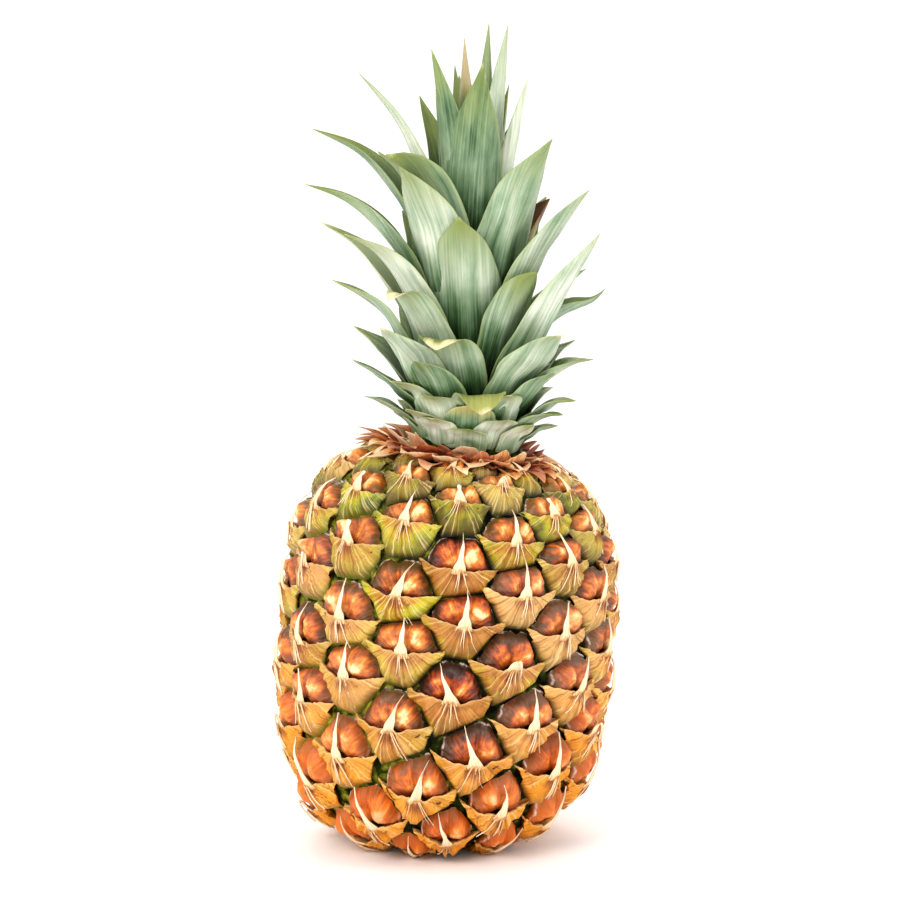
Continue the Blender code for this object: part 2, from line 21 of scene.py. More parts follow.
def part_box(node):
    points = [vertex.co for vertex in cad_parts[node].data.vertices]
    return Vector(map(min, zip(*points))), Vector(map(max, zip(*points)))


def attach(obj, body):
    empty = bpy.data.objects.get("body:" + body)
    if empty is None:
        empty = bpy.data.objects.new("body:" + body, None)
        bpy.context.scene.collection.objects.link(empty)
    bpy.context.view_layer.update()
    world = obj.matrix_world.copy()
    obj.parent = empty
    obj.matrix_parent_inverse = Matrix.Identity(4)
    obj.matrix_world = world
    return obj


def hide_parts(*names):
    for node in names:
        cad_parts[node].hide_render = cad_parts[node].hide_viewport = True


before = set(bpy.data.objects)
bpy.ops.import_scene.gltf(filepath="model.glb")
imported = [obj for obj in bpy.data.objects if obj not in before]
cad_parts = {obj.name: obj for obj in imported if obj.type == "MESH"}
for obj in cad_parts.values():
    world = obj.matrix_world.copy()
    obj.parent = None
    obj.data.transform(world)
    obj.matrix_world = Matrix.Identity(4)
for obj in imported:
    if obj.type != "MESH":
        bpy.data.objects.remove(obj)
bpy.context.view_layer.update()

MM = 0.001

# %% [markdown]
# ## Camera
# The photograph was taken with a long lens, from a little above the fruit, against pure white. A camera can
# be placed by eye, but here its height and distance follow from the photograph: 0.365 mm to a pixel at
# 1.1 m, looking 8 degrees down.

# %% Camera
CAMERA_DISTANCE = 1.1
CAMERA_DROP = math.radians(8.0)
PIXEL_SIZE = 0.365 * MM
FRAME_PIXELS = 900
SENSOR_WIDTH = 36.0
AIM = Vector((1.1 * MM, 0.0, 145.0 * MM))


def in_scene(name, data):
    """A new object of some data, linked to the scene."""
    obj = bpy.data.objects.new(name, data)
    bpy.context.scene.collection.objects.link(obj)
    return obj


camera = in_scene("camera", bpy.data.cameras.new("camera"))
camera.data.sensor_width = SENSOR_WIDTH
camera.data.lens = SENSOR_WIDTH * CAMERA_DISTANCE / (PIXEL_SIZE * FRAME_PIXELS)
towards = Vector((0.0, math.cos(CAMERA_DROP), -math.sin(CAMERA_DROP)))
camera.location = AIM - towards * CAMERA_DISTANCE
camera.rotation_euler = towards.to_track_quat("-Z", "Y").to_euler()
bpy.context.scene.camera = camera
print("lens", round(camera.data.lens, 1), "mm")

# %% [markdown]
# ## Colours and nodes
# Colours are written as the hex values a maker would pick on a screen, which are sRGB, while Blender's
# shaders work on linear light, so one function turns them. One more function adds a node, sets it and links
# it. Every material and every Geometry Nodes tree below is built with it.

# %% Colour and node helpers
def linear(code):
    """An sRGB hex colour as linear RGBA."""
    channels = [int(code[start:start + 2], 16) / 255 for start in (1, 3, 5)]
    return (*[c / 12.92 if c <= 0.04045 else ((c + 0.055) / 1.055) ** 2.4 for c in channels], 1.0)


def add(tree, kind, inputs=None, out=0, stops=(), **settings):
    """Adds a node, sets its properties, then its inputs: each is a value or a socket to link from.

    It hands back the output that out names, or all outputs for None."""
    node = tree.nodes.new(kind)
    for name, setting in settings.items():
        setattr(node, name, setting)
    for name, given in (inputs or {}).items():
        if isinstance(given, bpy.types.NodeSocket):
            tree.links.new(given, node.inputs[name])
        else:
            node.inputs[name].default_value = given
    for number, (place, code) in enumerate(stops):
        elements = node.color_ramp.elements
        stop = elements[number] if number < 2 else elements.new(place)
        stop.position = place
        stop.color = linear(code)
    return node.outputs if out is None else node.outputs[out]


def principled(name, roughness, **values):
    """A material with its tree and its Principled shader."""
    material = bpy.data.materials.new(name)
    material.use_nodes = True
    tree = material.node_tree
    shader = tree.nodes["Principled BSDF"]
    shader.inputs["Roughness"].default_value = roughness
    for label, given in values.items():
        shader.inputs[label.replace("_", " ")].default_value = given
    return material, tree, shader


# %% [markdown]
# ## Floor and light
# A fruit is photographed on white paper that runs out of sight. A world of pure white alone would light the
# grooves as much as the domes, so one broad softbox from the front left shapes the eyes, a weaker one lifts
# the right side, and one behind lights the edges of the leaves. Large lights keep every shadow soft.

# %% Floor and light
FLOOR_REACH = 0.7
PAPER_ROUGHNESS = 0.9
LIGHT_TARGET = Vector((0.0, 0.0, 0.13))
LIGHTS = {
    "front_softbox": ((-0.6, -1.0, 0.9), 0.5, 7.0),
    "right_softbox": ((1.1, -0.35, 0.6), 0.5, 2.5),
    "back_softbox": ((-0.2, 1.1, 0.9), 0.6, 4.0),
}

floor_mesh = bpy.data.meshes.new("floor")
shape = bmesh.new()
bmesh.ops.create_grid(shape, x_segments=1, y_segments=1, size=FLOOR_REACH)
shape.to_mesh(floor_mesh)
shape.free()
paper, tree, shader = principled("matt_white_paper", PAPER_ROUGHNESS)
shader.inputs["Base Color"].default_value = linear("#FAFAFA")
floor_mesh.materials.append(paper)
floor = in_scene("floor", floor_mesh)

world = bpy.data.worlds.new("white_room")
world.use_nodes = True
world.node_tree.nodes["Background"].inputs["Color"].default_value = linear("#FFFFFF")
world.node_tree.nodes["Background"].inputs["Strength"].default_value = 1.0
bpy.context.scene.world = world

for name, (place, side, power) in LIGHTS.items():
    light = bpy.data.lights.new(name, "AREA")
    light.shape = "SQUARE"
    light.size = side
    light.energy = power
    lamp = in_scene(name, light)
    lamp.location = place
    lamp.rotation_euler = (LIGHT_TARGET - Vector(place)).to_track_quat("-Z", "Y").to_euler()
bpy.context.scene.view_settings.view_transform = "Standard"
bpy.context.scene.view_settings.look = "Medium High Contrast"
print(len(LIGHTS), "softboxes")

# %% [markdown]
# ## The plan of the plant
# Real growth follows simple rules, so a few numbers place everything. The skin is a barrel with rounded
# ends, turned round an upright axis, and the axis then leans to the right at the shoulders. The eyes follow
# one spiral at the golden angle; the rows of eight slide a little, as on the fruit in the photograph. The
# solids were made by the same rules, so what is made here lies on them. The middle of the stalk's cut end
# says where the axis stands.

# %% The skin, the axis and the spiral
SKIN_RADIUS = 57.0 * MM
BELLY_HEIGHT = 80.0 * MM
BELOW_BELLY = 79.2 * MM
ABOVE_BELLY = 65.0 * MM
ROUNDING = 3.0
MERIDIAN_STEPS = 400
AXIS_LEANS = ((0, 0), (147, 8), (172, 0), (320, 5))
AXIS_STEP = 1.0 * MM
GOLDEN_ANGLE = math.pi * (3.0 - math.sqrt(5.0))
EYES = range(5, 129)
EYE_AT_BELLY = 61.5
FIRST_EYE_TURN = math.radians(324.0)
EYE_RADIUS = 62.0 * MM
EYE_STEP = 1.47 * MM
EYE_STEPS = (
    (-115, 0.9), (-100, 1.2), (-84, 1.6), (-60, 1.8), (-30, 1.52), (0, 1.45), (35, 1.31), (60, 1.1),
    (90, 0.8),
)
WALK_STEP = 0.1 * MM
ROW_SLIDES = ((0, 1.0), (-3, -2.5), (3, 2.0), (0, 0), (7, 0), (0, 0), (2, -1.5), (-2, -0.6))

stalk_low, stalk_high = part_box("stalk_end")
AXIS_FOOT = Vector((*(0.5 * (stalk_low + stalk_high)).xy, 0.0))


def on_ladder(ladder, at):
    """The row of a ladder of numbers at a place in its first column, on straight lines between its rungs."""
    upper = min(max(bisect.bisect(ladder, (at,)), 1), len(ladder) - 1)
    low = ladder[upper - 1]
    high = ladder[upper]
    share = (at - low[0]) / (high[0] - low[0])
    return [first + (second - first) * share for first, second in zip(low, high)]


def value(table, at):
    """The value of a (place, value) table at a place, level beyond its ends."""
    return on_ladder(table, min(max(at, table[0][0]), table[-1][0]))[1]


def axis_ladder():
    """Rungs of height, x, z and lean along the axis."""
    rungs = []
    x = 0.0
    z = 0.0
    for step in range(int(AXIS_LEANS[-1][0] * MM / AXIS_STEP) + 1):
        lean = math.radians(value(AXIS_LEANS, step * AXIS_STEP / MM))
        rungs.append((step * AXIS_STEP, x, z, lean))
        x += AXIS_STEP * math.sin(lean)
        z += AXIS_STEP * math.cos(lean)
    return rungs


def meridian_ladder():
    """Rungs of distance along the skin from the foot's middle, radius and height."""
    outline = []
    for step in range(-MERIDIAN_STEPS, MERIDIAN_STEPS + 1):
        angle = 0.5 * math.pi * step / MERIDIAN_STEPS
        reach = ABOVE_BELLY if step > 0 else BELOW_BELLY
        radius = SKIN_RADIUS * abs(math.cos(angle)) ** (2.0 / ROUNDING)
        rise = reach * abs(math.sin(angle)) ** (2.0 / ROUNDING)
        outline.append((radius, BELLY_HEIGHT + math.copysign(rise, step)))
    distances = [0.0]
    for first, second in zip(outline, outline[1:]):
        distances.append(distances[-1] + math.dist(first, second))
    return [(distance, *point) for distance, point in zip(distances, outline)]


AXIS = axis_ladder()
MERIDIAN = meridian_ladder()
BELLY = MERIDIAN[MERIDIAN_STEPS][0]


def index_ladder():
    """Rungs of place on the eyes' spiral and distance along the skin."""
    rungs = []
    for direction, end in ((-1, 0.0), (1, MERIDIAN[-1][0])):
        index = EYE_AT_BELLY
        distance = BELLY
        while direction * distance < direction * end:
            rungs.append((index, distance))
            distance += direction * WALK_STEP
            index += direction * WALK_STEP / eye_step(distance)
    return sorted(set(rungs))


def eye_step(distance):
    """How far one eye is above the last, at a distance along the skin."""
    return value(EYE_STEPS, (distance - BELLY) / MM) * MM


def bent(point):
    """A point of the upright plant, where the leaning axis and the axis's foot take it."""
    height, x, z, lean = on_ladder(AXIS, max(point.z, 0.0))
    place = Vector((x + point.x * math.cos(lean), point.y, z - point.x * math.sin(lean)))
    return place + AXIS_FOOT + Vector((0.0, 0.0, min(point.z, 0.0)))


INDICES = index_ladder()
print("skin", round(MERIDIAN[-1][0] / MM), "mm from end to end;", len(EYES), "eyes")

# %% [markdown]
# ## Meshes made of grids
# Domes, bracts, tips and leaves are all thin skins that close on themselves. Each could be its own little
# modelling job, but all are a grid of points with something under it: a second grid for a leaf's other face,
# or a single root point inside the fruit. One function closes such a grid and gives each point its marks,
# the numbers that materials read later.

# %% Helpers for meshes
MERGE_DISTANCE = 0.002 * MM
NOISE_GAIN = 1.6
SEEDS_APART = 7.3


def shell(outer, under, **marks):
    """One closed skin: a grid of points, what closes it from under, and marks with numbers for each point."""
    return outer, under, marks


def mesh_object(name, shells):
    """An object made of shells. Under a grid is a grid of its size, or one point that its border runs to.

    A grid faces out when its columns, turned left, run the way of its rows. The mark inside is 1
    underneath."""
    points = []
    faces = []
    marks = {}
    for outer, under, given in shells:
        start = sum(len(part) for part in points)
        rows, columns = outer.shape[:2]
        size = rows * columns
        index = start + np.arange(size).reshape(rows, columns)
        corners = (index[:-1, :-1], index[:-1, 1:], index[1:, 1:], index[1:, :-1])
        quads = np.stack(corners, axis=-1).reshape(-1, 4)
        border = np.concatenate((index[0, :-1], index[:-1, -1], index[-1, :0:-1], index[:0:-1, 0]))
        ahead = np.roll(border, -1)
        points += [outer.reshape(-1, 3), under.reshape(-1, 3)]
        faces += quads.tolist()
        if under.ndim == 1:
            faces += np.stack((ahead, border, np.full_like(border, start + size)), axis=-1).tolist()
        else:
            faces += (quads[:, ::-1] + size).tolist()
            faces += np.stack((ahead, border, border + size, ahead + size), axis=-1).tolist()
        for label, numbers in given.items():
            numbers = numbers.reshape(size, -1)
            below = numbers if under.ndim == 3 else numbers.mean(axis=0, keepdims=True)
            marks.setdefault(label, []).append(np.concatenate((numbers, below)))
        inside = np.concatenate((np.zeros((size, 1)), np.ones((under.size // 3, 1))))
        marks.setdefault("inside", []).append(inside)
    mesh = bpy.data.meshes.new(name)
    mesh.from_pydata(np.concatenate(points).tolist(), [], faces)
    for label, parts in marks.items():
        numbers = np.concatenate(parts)
        kind = "FLOAT_VECTOR" if numbers.shape[1] == 3 else "FLOAT"
        attribute = mesh.attributes.new(label, kind, "POINT")
        attribute.data.foreach_set("vector" if kind == "FLOAT_VECTOR" else "value", numbers.ravel())
    shape = bmesh.new()
    shape.from_mesh(mesh)
    bmesh.ops.remove_doubles(shape, verts=shape.verts, dist=MERGE_DISTANCE)
    shape.to_mesh(mesh)
    shape.free()
    mesh.shade_smooth()
    return in_scene(name, mesh)


def smooth(low, high, at):
    """0 below low, 1 above high, and an S between them."""
    share = np.clip((at - low) / (high - low), 0.0, 1.0)
    return share * share * (3.0 - 2.0 * share)


def grain(across, up, seed):
    """Smooth noise from -1 to 1 at each point of two grids, one wave to a unit."""
    across, up = np.broadcast_arrays(across, up)
    flat = [noise.noise(Vector((x, y, SEEDS_APART * seed))) for x, y in zip(across.ravel(), up.ravel())]
    return np.array(flat).reshape(across.shape) * NOISE_GAIN


# %% [markdown]
# ## Sculpting one eye, flat
# Each eye is three things that grew apart and dried together: the dome of the closed flower, the bract
# under it, and the bract's papery tip. It could be carved by hand in Sculpt Mode, but a formula lets one
# function give several eyes that differ, as real ones do. They are modelled flat, in millimetres: x across,
# y up from the bract's upper edge, z out of the fruit.
#
# The dome is two soft pillows with a seam between them, a thin crinkled rim, and a steep side down into the
# groove. Its grid is polar, so that the crinkles run out from the middle, as the sepals' fibres do.

# %% The domes
DOME_HALF_WIDTH = 13.8
DOME_HEIGHT = 13.6
DOME_FOOT = 5.0
DOME_ROUNDING = 2.5
DOME_MIDDLE = 0.4
DOME_BEARINGS = np.radians(np.linspace(-24.0, 204.0, 62))
DOME_SHARES = np.array((0, 0.25, 0.45, 0.6, 0.71, 0.79, 0.84, 0.88, 0.91, 0.94, 1.0))
DOME_RISE = 2.1
DOME_ROOT = (0.0, 0.4, -3.0)
DOME_KINDS = 6
LOBE_RISE = 3.1
LOBE_PLACE = (5.4, 5.0)
LOBE_SIZE = (4.7, 4.4)
SEAM_DEPTH = 1.3
SEAM_WIDTH = 0.8
RIM_AT = 0.89
WALL_DROP = 3.4


def dome(kind):
    """One kind of dome. Share runs from 0 in its middle to 1 at its foot."""
    chance = random.Random(kind)
    slant = chance.uniform(-0.3, 0.3)
    bearing, share = np.meshgrid(DOME_BEARINGS, DOME_SHARES, indexing="ij")
    east = np.cos(bearing)
    north = np.sin(bearing)
    wide = np.abs(east) / DOME_HALF_WIDTH
    tall = np.abs(north) / np.where(north > 0, DOME_HEIGHT, DOME_FOOT)
    reach = (wide**DOME_ROUNDING + tall**DOME_ROUNDING) ** (-1.0 / DOME_ROUNDING)
    frill = 0.7 * grain(2.6 * east, 2.6 * north, kind) + 0.38 * grain(8.0 * east, 8.0 * north, kind)
    reach = reach + frill * smooth(0.45, 1.0, share)
    x = share * reach * east
    y = DOME_MIDDLE + share * reach * north
    uneven = 0.9 * grain(0.18 * x, 0.18 * y, kind + 12)
    aside = (np.abs(x - uneven) - LOBE_PLACE[0]) / LOBE_SIZE[0]
    lobe = np.exp(-(aside**2) - ((y - LOBE_PLACE[1] - uneven) / LOBE_SIZE[1]) ** 2)
    lobe = lobe * (1.0 + chance.uniform(-0.4, 0.4) * np.tanh(x))
    z = DOME_RISE + LOBE_RISE * lobe + 0.5 * smooth(3.0, 8.0, y)
    seam = np.exp(-(((x - 0.3 - slant * y) / SEAM_WIDTH) ** 2))
    z = z - SEAM_DEPTH * seam * smooth(0.1, 0.5, share)
    crease = 0.6 * grain(2.6 * bearing, 0.3 * y, kind + 5) + 0.5 * grain(9.0 * bearing, 0.4 * y, kind + 9)
    z = z + crease * smooth(0.3, 0.8, share) + 0.35 * grain(0.5 * x, 0.5 * y, kind + 15)
    z = z - (1.3 + 0.3 * grain(5.0 * bearing, share, kind)) * smooth(0.72, 0.84, share)
    crest = np.exp(-(((share - RIM_AT) / 0.03) ** 2))
    z = z + (1.4 + 1.1 * grain(6.0 * bearing, share, kind + 3)) * crest - WALL_DROP * smooth(0.93, 1.0, share)
    outer = np.stack((x, y, z), axis=-1)
    rim = np.exp(-(((share - 0.9) / 0.04) ** 2)) * smooth(-0.1, 0.25, north)
    skin = shell(outer * MM, np.array(DOME_ROOT) * MM, flat=outer, rim=rim, out=share, lobe=lobe)
    return mesh_object(f"dome_{kind}", [skin])


# %% [markdown]
# ## Bracts
# The bract is a shield with wings. Its upper edge stands free of the dome, so a real shadow falls in the
# gap. Its fibres run together at the root of the tip, which pleats it and pulls it up into a low tent, and
# its foot sinks into the groove between the domes below.

# %% The bracts
BRACT_HALF_WIDTH = 17.6
BRACT_FOOT_HALF_WIDTH = 12.6
BRACT_DROP = 17.0
BRACT_ROOT = (-0.6, -7.0, -2.5)
BRACT_ROWS = np.array(
    (-0.05, -0.015, 0.01, 0.05, 0.1, 0.17, 0.25, 0.34, 0.44, 0.54, 0.64, 0.74, 0.84, 0.93, 1.0)
)
BRACT_COLUMNS = 39
BRACT_KINDS = 6


def bract_rise(x, y):
    """How far a bract stands out at a flat place, without its pleats."""
    down = np.clip(-y / BRACT_DROP, 0.0, 1.0)
    tent = 1.5 * np.exp(-np.abs(x) / 3.2) * (1.0 - 0.7 * down)
    shield = 4.4 - 2.3 * np.minimum(np.abs(x) / 15.0, 1.1) ** 1.5
    return shield * (1.0 - 0.65 * down**1.7) + tent + 0.2


def bract(kind):
    """One kind of bract. Its rows run down from the hidden lip, which lies over the free upper edge."""
    v, u = np.meshgrid(BRACT_ROWS, np.linspace(1.0, -1.0, BRACT_COLUMNS), indexing="ij")
    down = np.maximum(v, 0.0)
    chance = random.Random(kind)
    foot = BRACT_FOOT_HALF_WIDTH * chance.uniform(0.86, 1.12)
    flare = (BRACT_HALF_WIDTH - foot) * (1.0 - down) ** chance.uniform(3.0, 4.5)
    drift = 0.9 * grain(down * 1.5, 0 * down, kind) - 1.2 + chance.uniform(-2.0, 2.0)
    x = u * (foot + flare) + drift * down
    wing = np.where(u < 0, 2.8, 1.6) * np.abs(u) ** 3.4 - 0.6 * np.cos(math.pi * u)
    edge = 0.7 * grain(u * 3.0, 0 * u, kind + 2) + 0.4 * grain(u * 11.0, 0 * u, kind + 6)
    y = -BRACT_DROP * down + (wing + edge) * (1.0 - down) + 12.0 * np.minimum(v, 0.0)
    around = np.arctan2(x, 3.4 - y)
    pleats = 1.2 * grain(4.2 * around, 0.08 * y, kind) + 0.65 * grain(12.0 * around, 0.15 * y, kind + 4)
    z = bract_rise(x, y) + pleats * smooth(0.0, 0.15, down) * (1.0 - 0.5 * down)
    z = z + 0.8 * grain(0.4 * x, 0.4 * y, kind + 7)
    z = z + np.where(v < 0.0, 26.0 * v, 0.0)
    outer = np.stack((x, y, z), axis=-1)
    skin = shell(outer * MM, np.array(BRACT_ROOT) * MM, flat=outer, rim=1.0 - smooth(0.0, 0.07, down))
    return mesh_object(f"bract_{kind}", [skin])


# %% [markdown]
# ## Tips
# The tip is a thin dry spike, creased along its middle, on the bract's edge. Some stand straight, some lean,
# some have folded over and some have snapped, so each kind is a short path that the same loft follows. A few
# stray fibres run on from its root over the bract, thin as thread.

# %% The tips
TIP_PATHS = (
    ((-0.1, -2.4, 5.4), (0, 0.0, 6.0), (0.1, 3.5, 5.9), (0.3, 8.5, 5.2), (0.0, 13.6, 3.4)),
    ((0.2, -2.2, 5.4), (0, 0.0, 6.0), (-1.3, 3.5, 6.0), (-3.4, 8, 5.5), (-4.6, 12.4, 3.6)),
    ((-0.3, -2.2, 5.4), (0, 0.0, 6.0), (1.2, 3.5, 6.0), (2.6, 8, 5.5), (5.0, 12.0, 3.6)),
    ((0, -2.2, 5.4), (0.2, 0.0, 6.0), (1.0, 2.6, 6.7), (2.0, 1.6, 7.0), (2.4, -4.0, 6.4)),
    ((0, -2.2, 5.4), (0, 0.0, 6.0), (-0.6, 2.6, 6.2), (-1.0, 4.6, 6.2), (-1.4, 6.8, 6.0)),
    ((0.1, -2.6, 5.4), (0, 0.0, 6.0), (-0.8, 3.5, 5.9), (-0.2, 7.5, 5.2), (1.6, 12.0, 3.6)),
    ((-0.3, -2.4, 5.4), (0, 0.0, 6.0), (0.6, 3.0, 6.0), (0.3, 6.5, 6.0), (-1.6, 10.0, 5.2)),
    ((0.4, -2.2, 5.4), (0.3, 0.0, 6.0), (-0.2, 3.5, 5.9), (0.8, 8.5, 5.1), (2.4, 13.4, 3.3)),
)
BROKEN_TIP = 4
TIP_HALF_WIDTH = 3.7
TIP_STEPS = 15
TIP_THICKNESS = 0.28
TIP_LENGTH = 16.0
FIBRES_EACH = 3
FIBRE_WIDTH = 0.24
FIBRE_STEPS = 9


def along(path, steps):
    """Points on a smooth curve through a path's own points."""
    path = np.array(path, float)
    ends = np.concatenate(([2 * path[0] - path[1]], path, [2 * path[-1] - path[-2]]))
    places = np.linspace(0.0, len(path) - 1.000001, steps)
    first = places.astype(int)
    t = (places - first)[:, None]
    a, b, c, d = (ends[first + offset] for offset in range(4))
    return 0.5 * (2 * b + (c - a) * t + (2 * a - 5 * b + 4 * c - d) * t**2 + (3 * b - a - 3 * c + d) * t**3)


def ribbon(middle, half, across, lift, start):
    """A thin closed ribbon along a flat path. Its mark flat says how far it is from its own root."""
    slope = np.gradient(middle, axis=0)
    back = np.stack((np.zeros(len(middle)), slope[:, 2], -slope[:, 1]), axis=-1)
    back /= np.linalg.norm(back, axis=1, keepdims=True)
    run = np.linspace(0.0, 1.0, len(middle))[:, None] + 0.0 * across
    x, y, z = (middle[:, axis:axis + 1] for axis in range(3))
    outer = np.stack(np.broadcast_arrays(x + half * across, y, z + lift), axis=-1)
    marks = np.stack((half * across, start + TIP_LENGTH * run, 0.0 * run), axis=-1)
    return shell(outer * MM, (outer + TIP_THICKNESS * back[:, None, :]) * MM, flat=marks, rim=run)


def tip(kind):
    """One kind of tip, with the stray fibres that run on from its root."""
    broken = kind == BROKEN_TIP
    middle = along(TIP_PATHS[kind], TIP_STEPS)
    share = np.linspace(0.0, 1.0, TIP_STEPS)[:, None]
    across = np.linspace(-1.0, 1.0, 7)[None, :]
    half = TIP_HALF_WIDTH * (1.0 - share) ** (1.2 if broken else 1.6)
    half = np.maximum(half, 0.9 if broken else 0.1 + 0.5 * (1.0 - share))
    half = half * (1.0 + 0.25 * grain(5.0 * share, 0 * share, kind + 3))
    wave = 0.3 * grain(3.0 * share, 2.0 * across, kind) * (1 - share)
    wave = wave + 0.35 * grain(4.0 * across, 0 * share, kind)
    shells = [ribbon(middle, half, across, 0.45 - 0.4 * half * np.abs(across) + wave, 0.0)]
    chance = random.Random(kind)
    ridge = np.array(((0.0, 1.0, 0.0),))
    for fibre in range(FIBRES_EACH):
        reach = chance.uniform(-1.0, 1.0)
        path = [(1.6 * reach, -0.6), (3.2 * reach, -3.6), (4.6 * reach, -6.4)]
        path.append((7.5 * reach, chance.uniform(-8.0, -11.0)))
        line = along([(x, y, float(bract_rise(x, y)) + 0.42) for x, y in path], FIBRE_STEPS)
        thin = FIBRE_WIDTH * (1.1 - np.linspace(0.0, 1.0, FIBRE_STEPS)[:, None])
        shells.append(ribbon(line, thin, np.array(((-1.0, 0.0, 1.0),)), 0.25 * ridge, 1.0))
    return mesh_object(f"tip_{kind}", shells)


# %% [markdown]
# ## Wrapping the eyes round the fruit
# A flat eye has to bend with the skin, shrink towards the ends, stay inside its own groove and lean with the
# axis. Copies placed by hand could do none of that. Geometry Nodes does it in one tree: each point of a small
# mesh is one eye and carries its turn, its distance along the skin and its size; the tree picks a kind of
# eye for it, realises the copies, and moves every vertex. Two curves steer it, the skin's meridian and the
# leaning axis. Eyes grow until they meet, so the groove between two runs midway: eight half-planes, one for
# each of the nearest eyes, hold an eye inside its grooves and let its border down into them. Beside its upper
# edge a bract may reach further, so its two dry wings stand over the groove, as they do on the fruit.

# %% The guides that the tree follows
def guide(name, points):
    """A curve object through points, as a path to sample."""
    curve = bpy.data.curves.new(name, "CURVE")
    curve.dimensions = "3D"
    spline = curve.splines.new("POLY")
    spline.points.add(len(points) - 1)
    for place, point in zip(spline.points, points):
        place.co = (*point, 1.0)
    return in_scene(name, curve)


meridian_guide = guide("meridian", [(radius, 0.0, height) for _, radius, height in MERIDIAN])
axis_guide = guide("axis", [AXIS_FOOT + Vector((x, 0.0, z)) for _, x, z, _ in AXIS])

# %% [markdown]
# ### Places and grooves
# An eye's place is its number on the spiral. It could be read off a lattice drawn on paper; here the ladders
# of the plan turn the number into a turn and a distance along the skin. Midway to each neighbour runs a
# groove, and one vector for each says where: its dot product with a flat point is 1 on the groove.

# %% Where each eye is, and the grooves round it
NEAREST_EYES = 8
EYE_STANDS_OUT = 5.0 * MM


def eye_place(number):
    """The turn of an eye and its distance along the skin."""
    slide, climb = ROW_SLIDES[number % len(ROW_SLIDES)]
    turn = FIRST_EYE_TURN + GOLDEN_ANGLE * number + math.radians(slide)
    return turn, on_ladder(INDICES, number + climb)[1]


def half_planes(number):
    """For each near eye, the vector whose dot product with a flat point is 1 midway to that eye."""
    turn, distance = PLACES[number]
    sides = []
    for other, (other_turn, other_distance) in PLACES.items():
        radius = on_ladder(MERIDIAN, 0.5 * (distance + other_distance))[1] + EYE_STANDS_OUT
        across = math.remainder(other_turn - turn, 2.0 * math.pi) * radius
        away = Vector((across, other_distance - distance, 0.0))
        if other != number:
            scale = Vector((radius / EYE_RADIUS, eye_step(distance) / EYE_STEP, 0.0))
            sides.append((away.length, other, 2.0 * away * scale / away.length_squared))
    return [plane for _, _, plane in sorted(sides)[:NEAREST_EYES]]


PLACES = {number: eye_place(number) for number in EYES}
closest = 2.0 / half_planes(EYES[len(EYES) // 2])[0].length
print("a middle eye's neighbours are", round(closest / MM, 1), "mm or more from it")

# %% [markdown]
# No two eyes ripened alike. Three numbers say how each looks: how dark its dome is, how green its bract
# still is, and how pale it is, which is partly a real pale tone and partly painted light on eyes that catch
# more light. The eyes at the top stay green longest, and those that the photograph shows plainly have their
# own numbers.

# %% How each eye looks
EYE_GREENS = ((5, 0.25), (30, 0.2), (60, 0.3), (84, 0.45), (92, 0.75), (102, 0.95), (116, 0.8))
EYE_DARKS = ((5, 0.5), (40, 0.5), (80, 0.45), (100, 0.3), (116, 0.35))
EYES_SEEN = {
    16: (0.55, 0.1, 0.0), 21: (0.25, 0.1, 0.1), 24: (0.5, 0.2, 0.6), 29: (0.5, 0.25, 0.4),
    34: (0.35, 0.3, 0.5), 37: (0.7, 0.15, 0.3), 42: (0.35, 0.4, 0.4), 45: (0.55, 0.2, 0.7),
    47: (0.3, 0.2, 0.7), 50: (0.7, 0.1, 0.05), 53: (0.45, 0.2, 0.9), 55: (0.25, 0.35, 0.6),
    58: (0.65, 0.25, 0.2), 63: (0.3, 0.45, 0.4), 66: (0.45, 0.25, 0.8), 68: (0.25, 0.4, 0.6),
    71: (0.4, 0.2, 0.15), 74: (0.3, 0.2, 0.8), 76: (0.6, 0.6, 0.0), 79: (0.5, 0.2, 1.0),
    81: (0.35, 0.2, 0.6), 84: (0.25, 0.15, 0.0), 87: (0.5, 0.45, 0.3), 89: (0.3, 0.6, 0.3),
    92: (0.35, 0.6, 0.1), 94: (0.4, 0.6, 0.3), 97: (0.35, 0.7, 0.1), 100: (0.3, 0.8, 0.1),
    102: (0.45, 0.9, 0.0), 105: (0.3, 1.0, 0.0),
}
PLANES = [f"plane_{side}" for side in range(NEAREST_EYES)]
EYE_MARKS = {"kind": "INT"}
EYE_MARKS |= dict.fromkeys(("turn", "distance", "stretch", "size", "chance"), "FLOAT")
EYE_MARKS |= dict.fromkeys(("looks", *PLANES), "FLOAT_VECTOR")
LOOKS_SEED = 11


def eye_looks(number, chance):
    """How dark, how green and how pale an eye is, each about 0 to 1; the paleness is partly painted light."""
    drawn = (
        value(EYE_DARKS, number) + chance.uniform(-0.25, 0.3),
        value(EYE_GREENS, number) + chance.uniform(-0.2, 0.2),
        chance.uniform(0.0, 0.8),
    )
    return EYES_SEEN.get(number, drawn)


def eye_points(name, kind_of):
    """A mesh of one point for each eye, with what the tree needs to place it as attributes."""
    chance = random.Random(LOOKS_SEED)
    marks = {label: [] for label in EYE_MARKS}
    for number, (turn, distance) in PLACES.items():
        stretch = eye_step(distance) / EYE_STEP
        marks["kind"].append(kind_of(number))
        marks["turn"].append(turn % (2.0 * math.pi))
        marks["distance"].append(distance)
        marks["stretch"].append(stretch)
        marks["size"].append(math.sqrt(on_ladder(MERIDIAN, distance)[1] / SKIN_RADIUS * stretch))
        marks["chance"].append(chance.random())
        marks["looks"] += eye_looks(number, chance)
        for side, plane in enumerate(half_planes(number)):
            marks[f"plane_{side}"] += tuple(plane)
    mesh = bpy.data.meshes.new(name)
    mesh.from_pydata([(0.0, 0.0, 0.0)] * len(PLACES), [], [])
    for label, kind in EYE_MARKS.items():
        slot = "vector" if kind == "FLOAT_VECTOR" else "value"
        mesh.attributes.new(label, kind, "POINT").data.foreach_set(slot, marks[label])
    return in_scene(name, mesh)


print(len(EYES_SEEN), "of", len(EYES), "eyes have their own looks")

